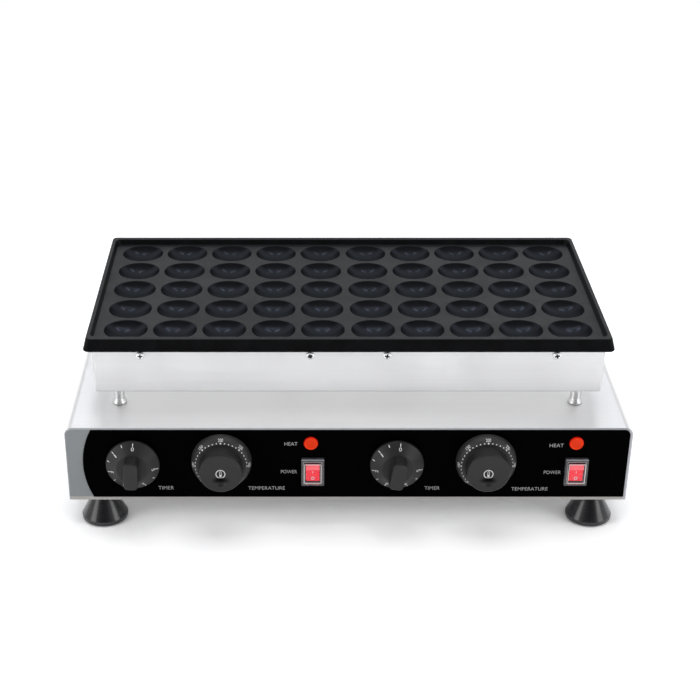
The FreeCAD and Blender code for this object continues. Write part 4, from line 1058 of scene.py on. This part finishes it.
def screw_crosses():
    """Dark crosses in the heads of the four screws along the front of the plate: painted shade of
    their cross recesses.
    """
    node = "plate_fixing_screws"
    points = [vert.co / MM for vert in NODES[node].data.vertices]
    front = min(point.y for point in points)
    parts = []
    for k, screw_x in enumerate(SCREW_XS):
        head = [p for p in points if p.y < front + 2.5 and abs(p.x - screw_x) < 9.0]
        xs, zs = [p.x for p in head], [p.z for p in head]
        centre_x, centre_z = (max(xs) + min(xs)) / 2, (max(zs) + min(zs)) / 2
        cross = slab(cross_outline((max(zs) - min(zs)) / 2, turn=math.radians(37.0 * k)))
        for vert in cross.verts:
            x, y, z = vert.co
            vert.co = Vector((centre_x + x, front + (-0.05 if z > 0 else 0.8), centre_z + y))
        parts.append(cross)
    finish_mesh(merge(parts), "plate_screw_recess_shade", "recess_shade", "griddle")


# ------------------------------------------------------------------ studio, in metres
def build_world():
    """White to the camera; a soft grey gradient by height to everything else."""
    world = bpy.data.worlds.new("studio_world")
    SCENE.world = world
    sky = Graph(world, "ShaderNodeOutputWorld")
    _, y, z = sky.xyz(sky.node("ShaderNodeTexCoord").outputs["Generated"])
    height = sky.span(z, over=(-0.2, 1.0), smooth=False)
    gradient = sky.node("ShaderNodeValToRGB", {0: height})
    stops = gradient.color_ramp.elements
    stops[0].color = (0.84, 0.84, 0.85, 1)
    stops[1].color = (0.26, 0.26, 0.28, 1)
    for position, grey in ((0.17, 0.93), (0.58, 0.97), (0.82, 0.45)):
        stops.new(position).color = (grey, grey, grey * 1.01, 1)
    # the camera side is dim above the horizon, so round black parts keep their shape
    front = sky.span(y, over=(-0.92, -0.55), to=(0.16, 1.0), smooth=False)
    above = sky.span(z, over=(-0.05, 0.10), smooth=False)
    dim = sky.mix(above, (1.0, 1.0, 1.0), front)
    colour = sky.mix(1.0, gradient.outputs[0], dim, "MULTIPLY")
    soft = sky.node("ShaderNodeBackground", {0: colour, 1: 1.0}).outputs[0]
    white = sky.node("ShaderNodeBackground", {0: (1.0, 1.0, 1.0), 1: 1.0}).outputs[0]
    to_camera = sky.node("ShaderNodeLightPath").outputs["Is Camera Ray"]
    sky.finish(sky.node("ShaderNodeMixShader", {0: to_camera, 1: soft, 2: white}).outputs[0])


def area_light(name, place, target, size, power, tint=(1, 1, 1)):
    light = bpy.data.lights.new(name, "AREA")
    light.color = tint
    light.shape = "RECTANGLE"
    light.size, light.size_y = size
    light.energy = power
    lamp = bpy.data.objects.new(name, light)
    lamp.location = place
    aim = Vector(target) - Vector(place)
    lamp.rotation_euler = aim.to_track_quat("-Z", "Y").to_euler()
    SCENE.collection.objects.link(lamp)
    return lamp


def build_lights():
    mirrored = (("left", -1), ("right", 1))
    area_light("softbox_top", (0.0, -0.1, 2.0), (0, 0, 0.1), size=(1.3, 0.9), power=9.0)
    for side, sign in mirrored:
        x = sign * 0.72
        area_light("strip_back_" + side, (x, 2.2, 1.55), (x * 0.3, 0, 0.19),
                   size=(1.05, 0.20), power=3.4, tint=(0.90, 0.95, 1.0))
    for side, sign in mirrored:
        x = sign * 0.50
        area_light("strip_high_" + side, (x, 0.65, 2.2), (x * 0.2, 0, 0.19),
                   size=(0.60, 0.12), power=1.6, tint=(0.84, 0.91, 1.0))
    for side, sign in mirrored:
        area_light("softbox_" + side, (sign * 1.5, -1.0, 0.75), (0, 0, 0.08),
                   size=(0.75, 1.3), power=7.5)
    # a little light caught between the heater box and the top of the base
    fill = area_light("gap_fill", (0.0, -0.005, 0.1322), (0, -0.005, 0.0),
                      size=(0.505, 0.25), power=0.150)
    fill.visible_camera = False


def make_floor_material():
    """Pale floor, brighter to the camera and in direct reflections than as a bounce."""
    mat = new_material("floor_pale")
    ray = mat.node("ShaderNodeLightPath").outputs
    direct = mat.math("LESS_THAN", ray["Diffuse Depth"], 0.5)
    reflected = mat.times(mat.times(ray["Is Glossy Ray"], direct), 0.66)
    gain = mat.plus(mat.times(ray["Is Camera Ray"], 0.46), mat.plus(reflected, 0.90))
    mottle = mat.span(mat.noise(scale=60.0), over=(0.3, 0.7), to=(0.99, 1.01))
    inputs = {"Color": mat.times(gain, mottle)}
    mat.finish(mat.node("ShaderNodeBsdfDiffuse", inputs).outputs[0])


def build_floor():
    """A flat square grid just below the feet."""
    cells, half, level = 24, 14.0, -0.0003
    mesh = bmesh.new()
    stops = [-half + 2 * half * i / cells for i in range(cells + 1)]
    grid = [[mesh.verts.new((x, y, level)) for x in stops] for y in stops]
    for j in range(cells):
        for i in range(cells):
            mesh.faces.new((grid[j][i], grid[j][i + 1], grid[j + 1][i + 1], grid[j + 1][i]))
    data = bpy.data.meshes.new("floor")
    mesh.to_mesh(data)
    mesh.free()
    floor = bpy.data.objects.new("floor", data)
    SCENE.collection.objects.link(floor)
    make_floor_material()
    data.materials.append(MATERIALS["floor_pale"])


def build_camera():
    lens = bpy.data.cameras.new("camera")
    lens.sensor_width = 36.0
    lens.lens = 78.0
    lens.shift_x, lens.shift_y = 0.0748, 0.1234
    lens.clip_start, lens.clip_end = 0.01, 60.0
    camera = bpy.data.objects.new("camera", lens)
    camera.rotation_euler = (math.radians(60.613), 0.0, 0.0)
    camera.location = (-0.0511, -1.4937, 0.8492)
    SCENE.collection.objects.link(camera)
    SCENE.camera = camera
    SCENE.view_settings.view_transform = "Standard"


make_materials()
dress_cad()
for side, shift in SIDES:
    timer_marks(side, shift)
    thermostat_marks(side, shift)
    rocker_marks(side, shift)
    boot_beads(side, shift)
    lamp_lens(side)
panel_labels()
screw_crosses()
build_world()
build_lights()
build_floor()
build_camera()
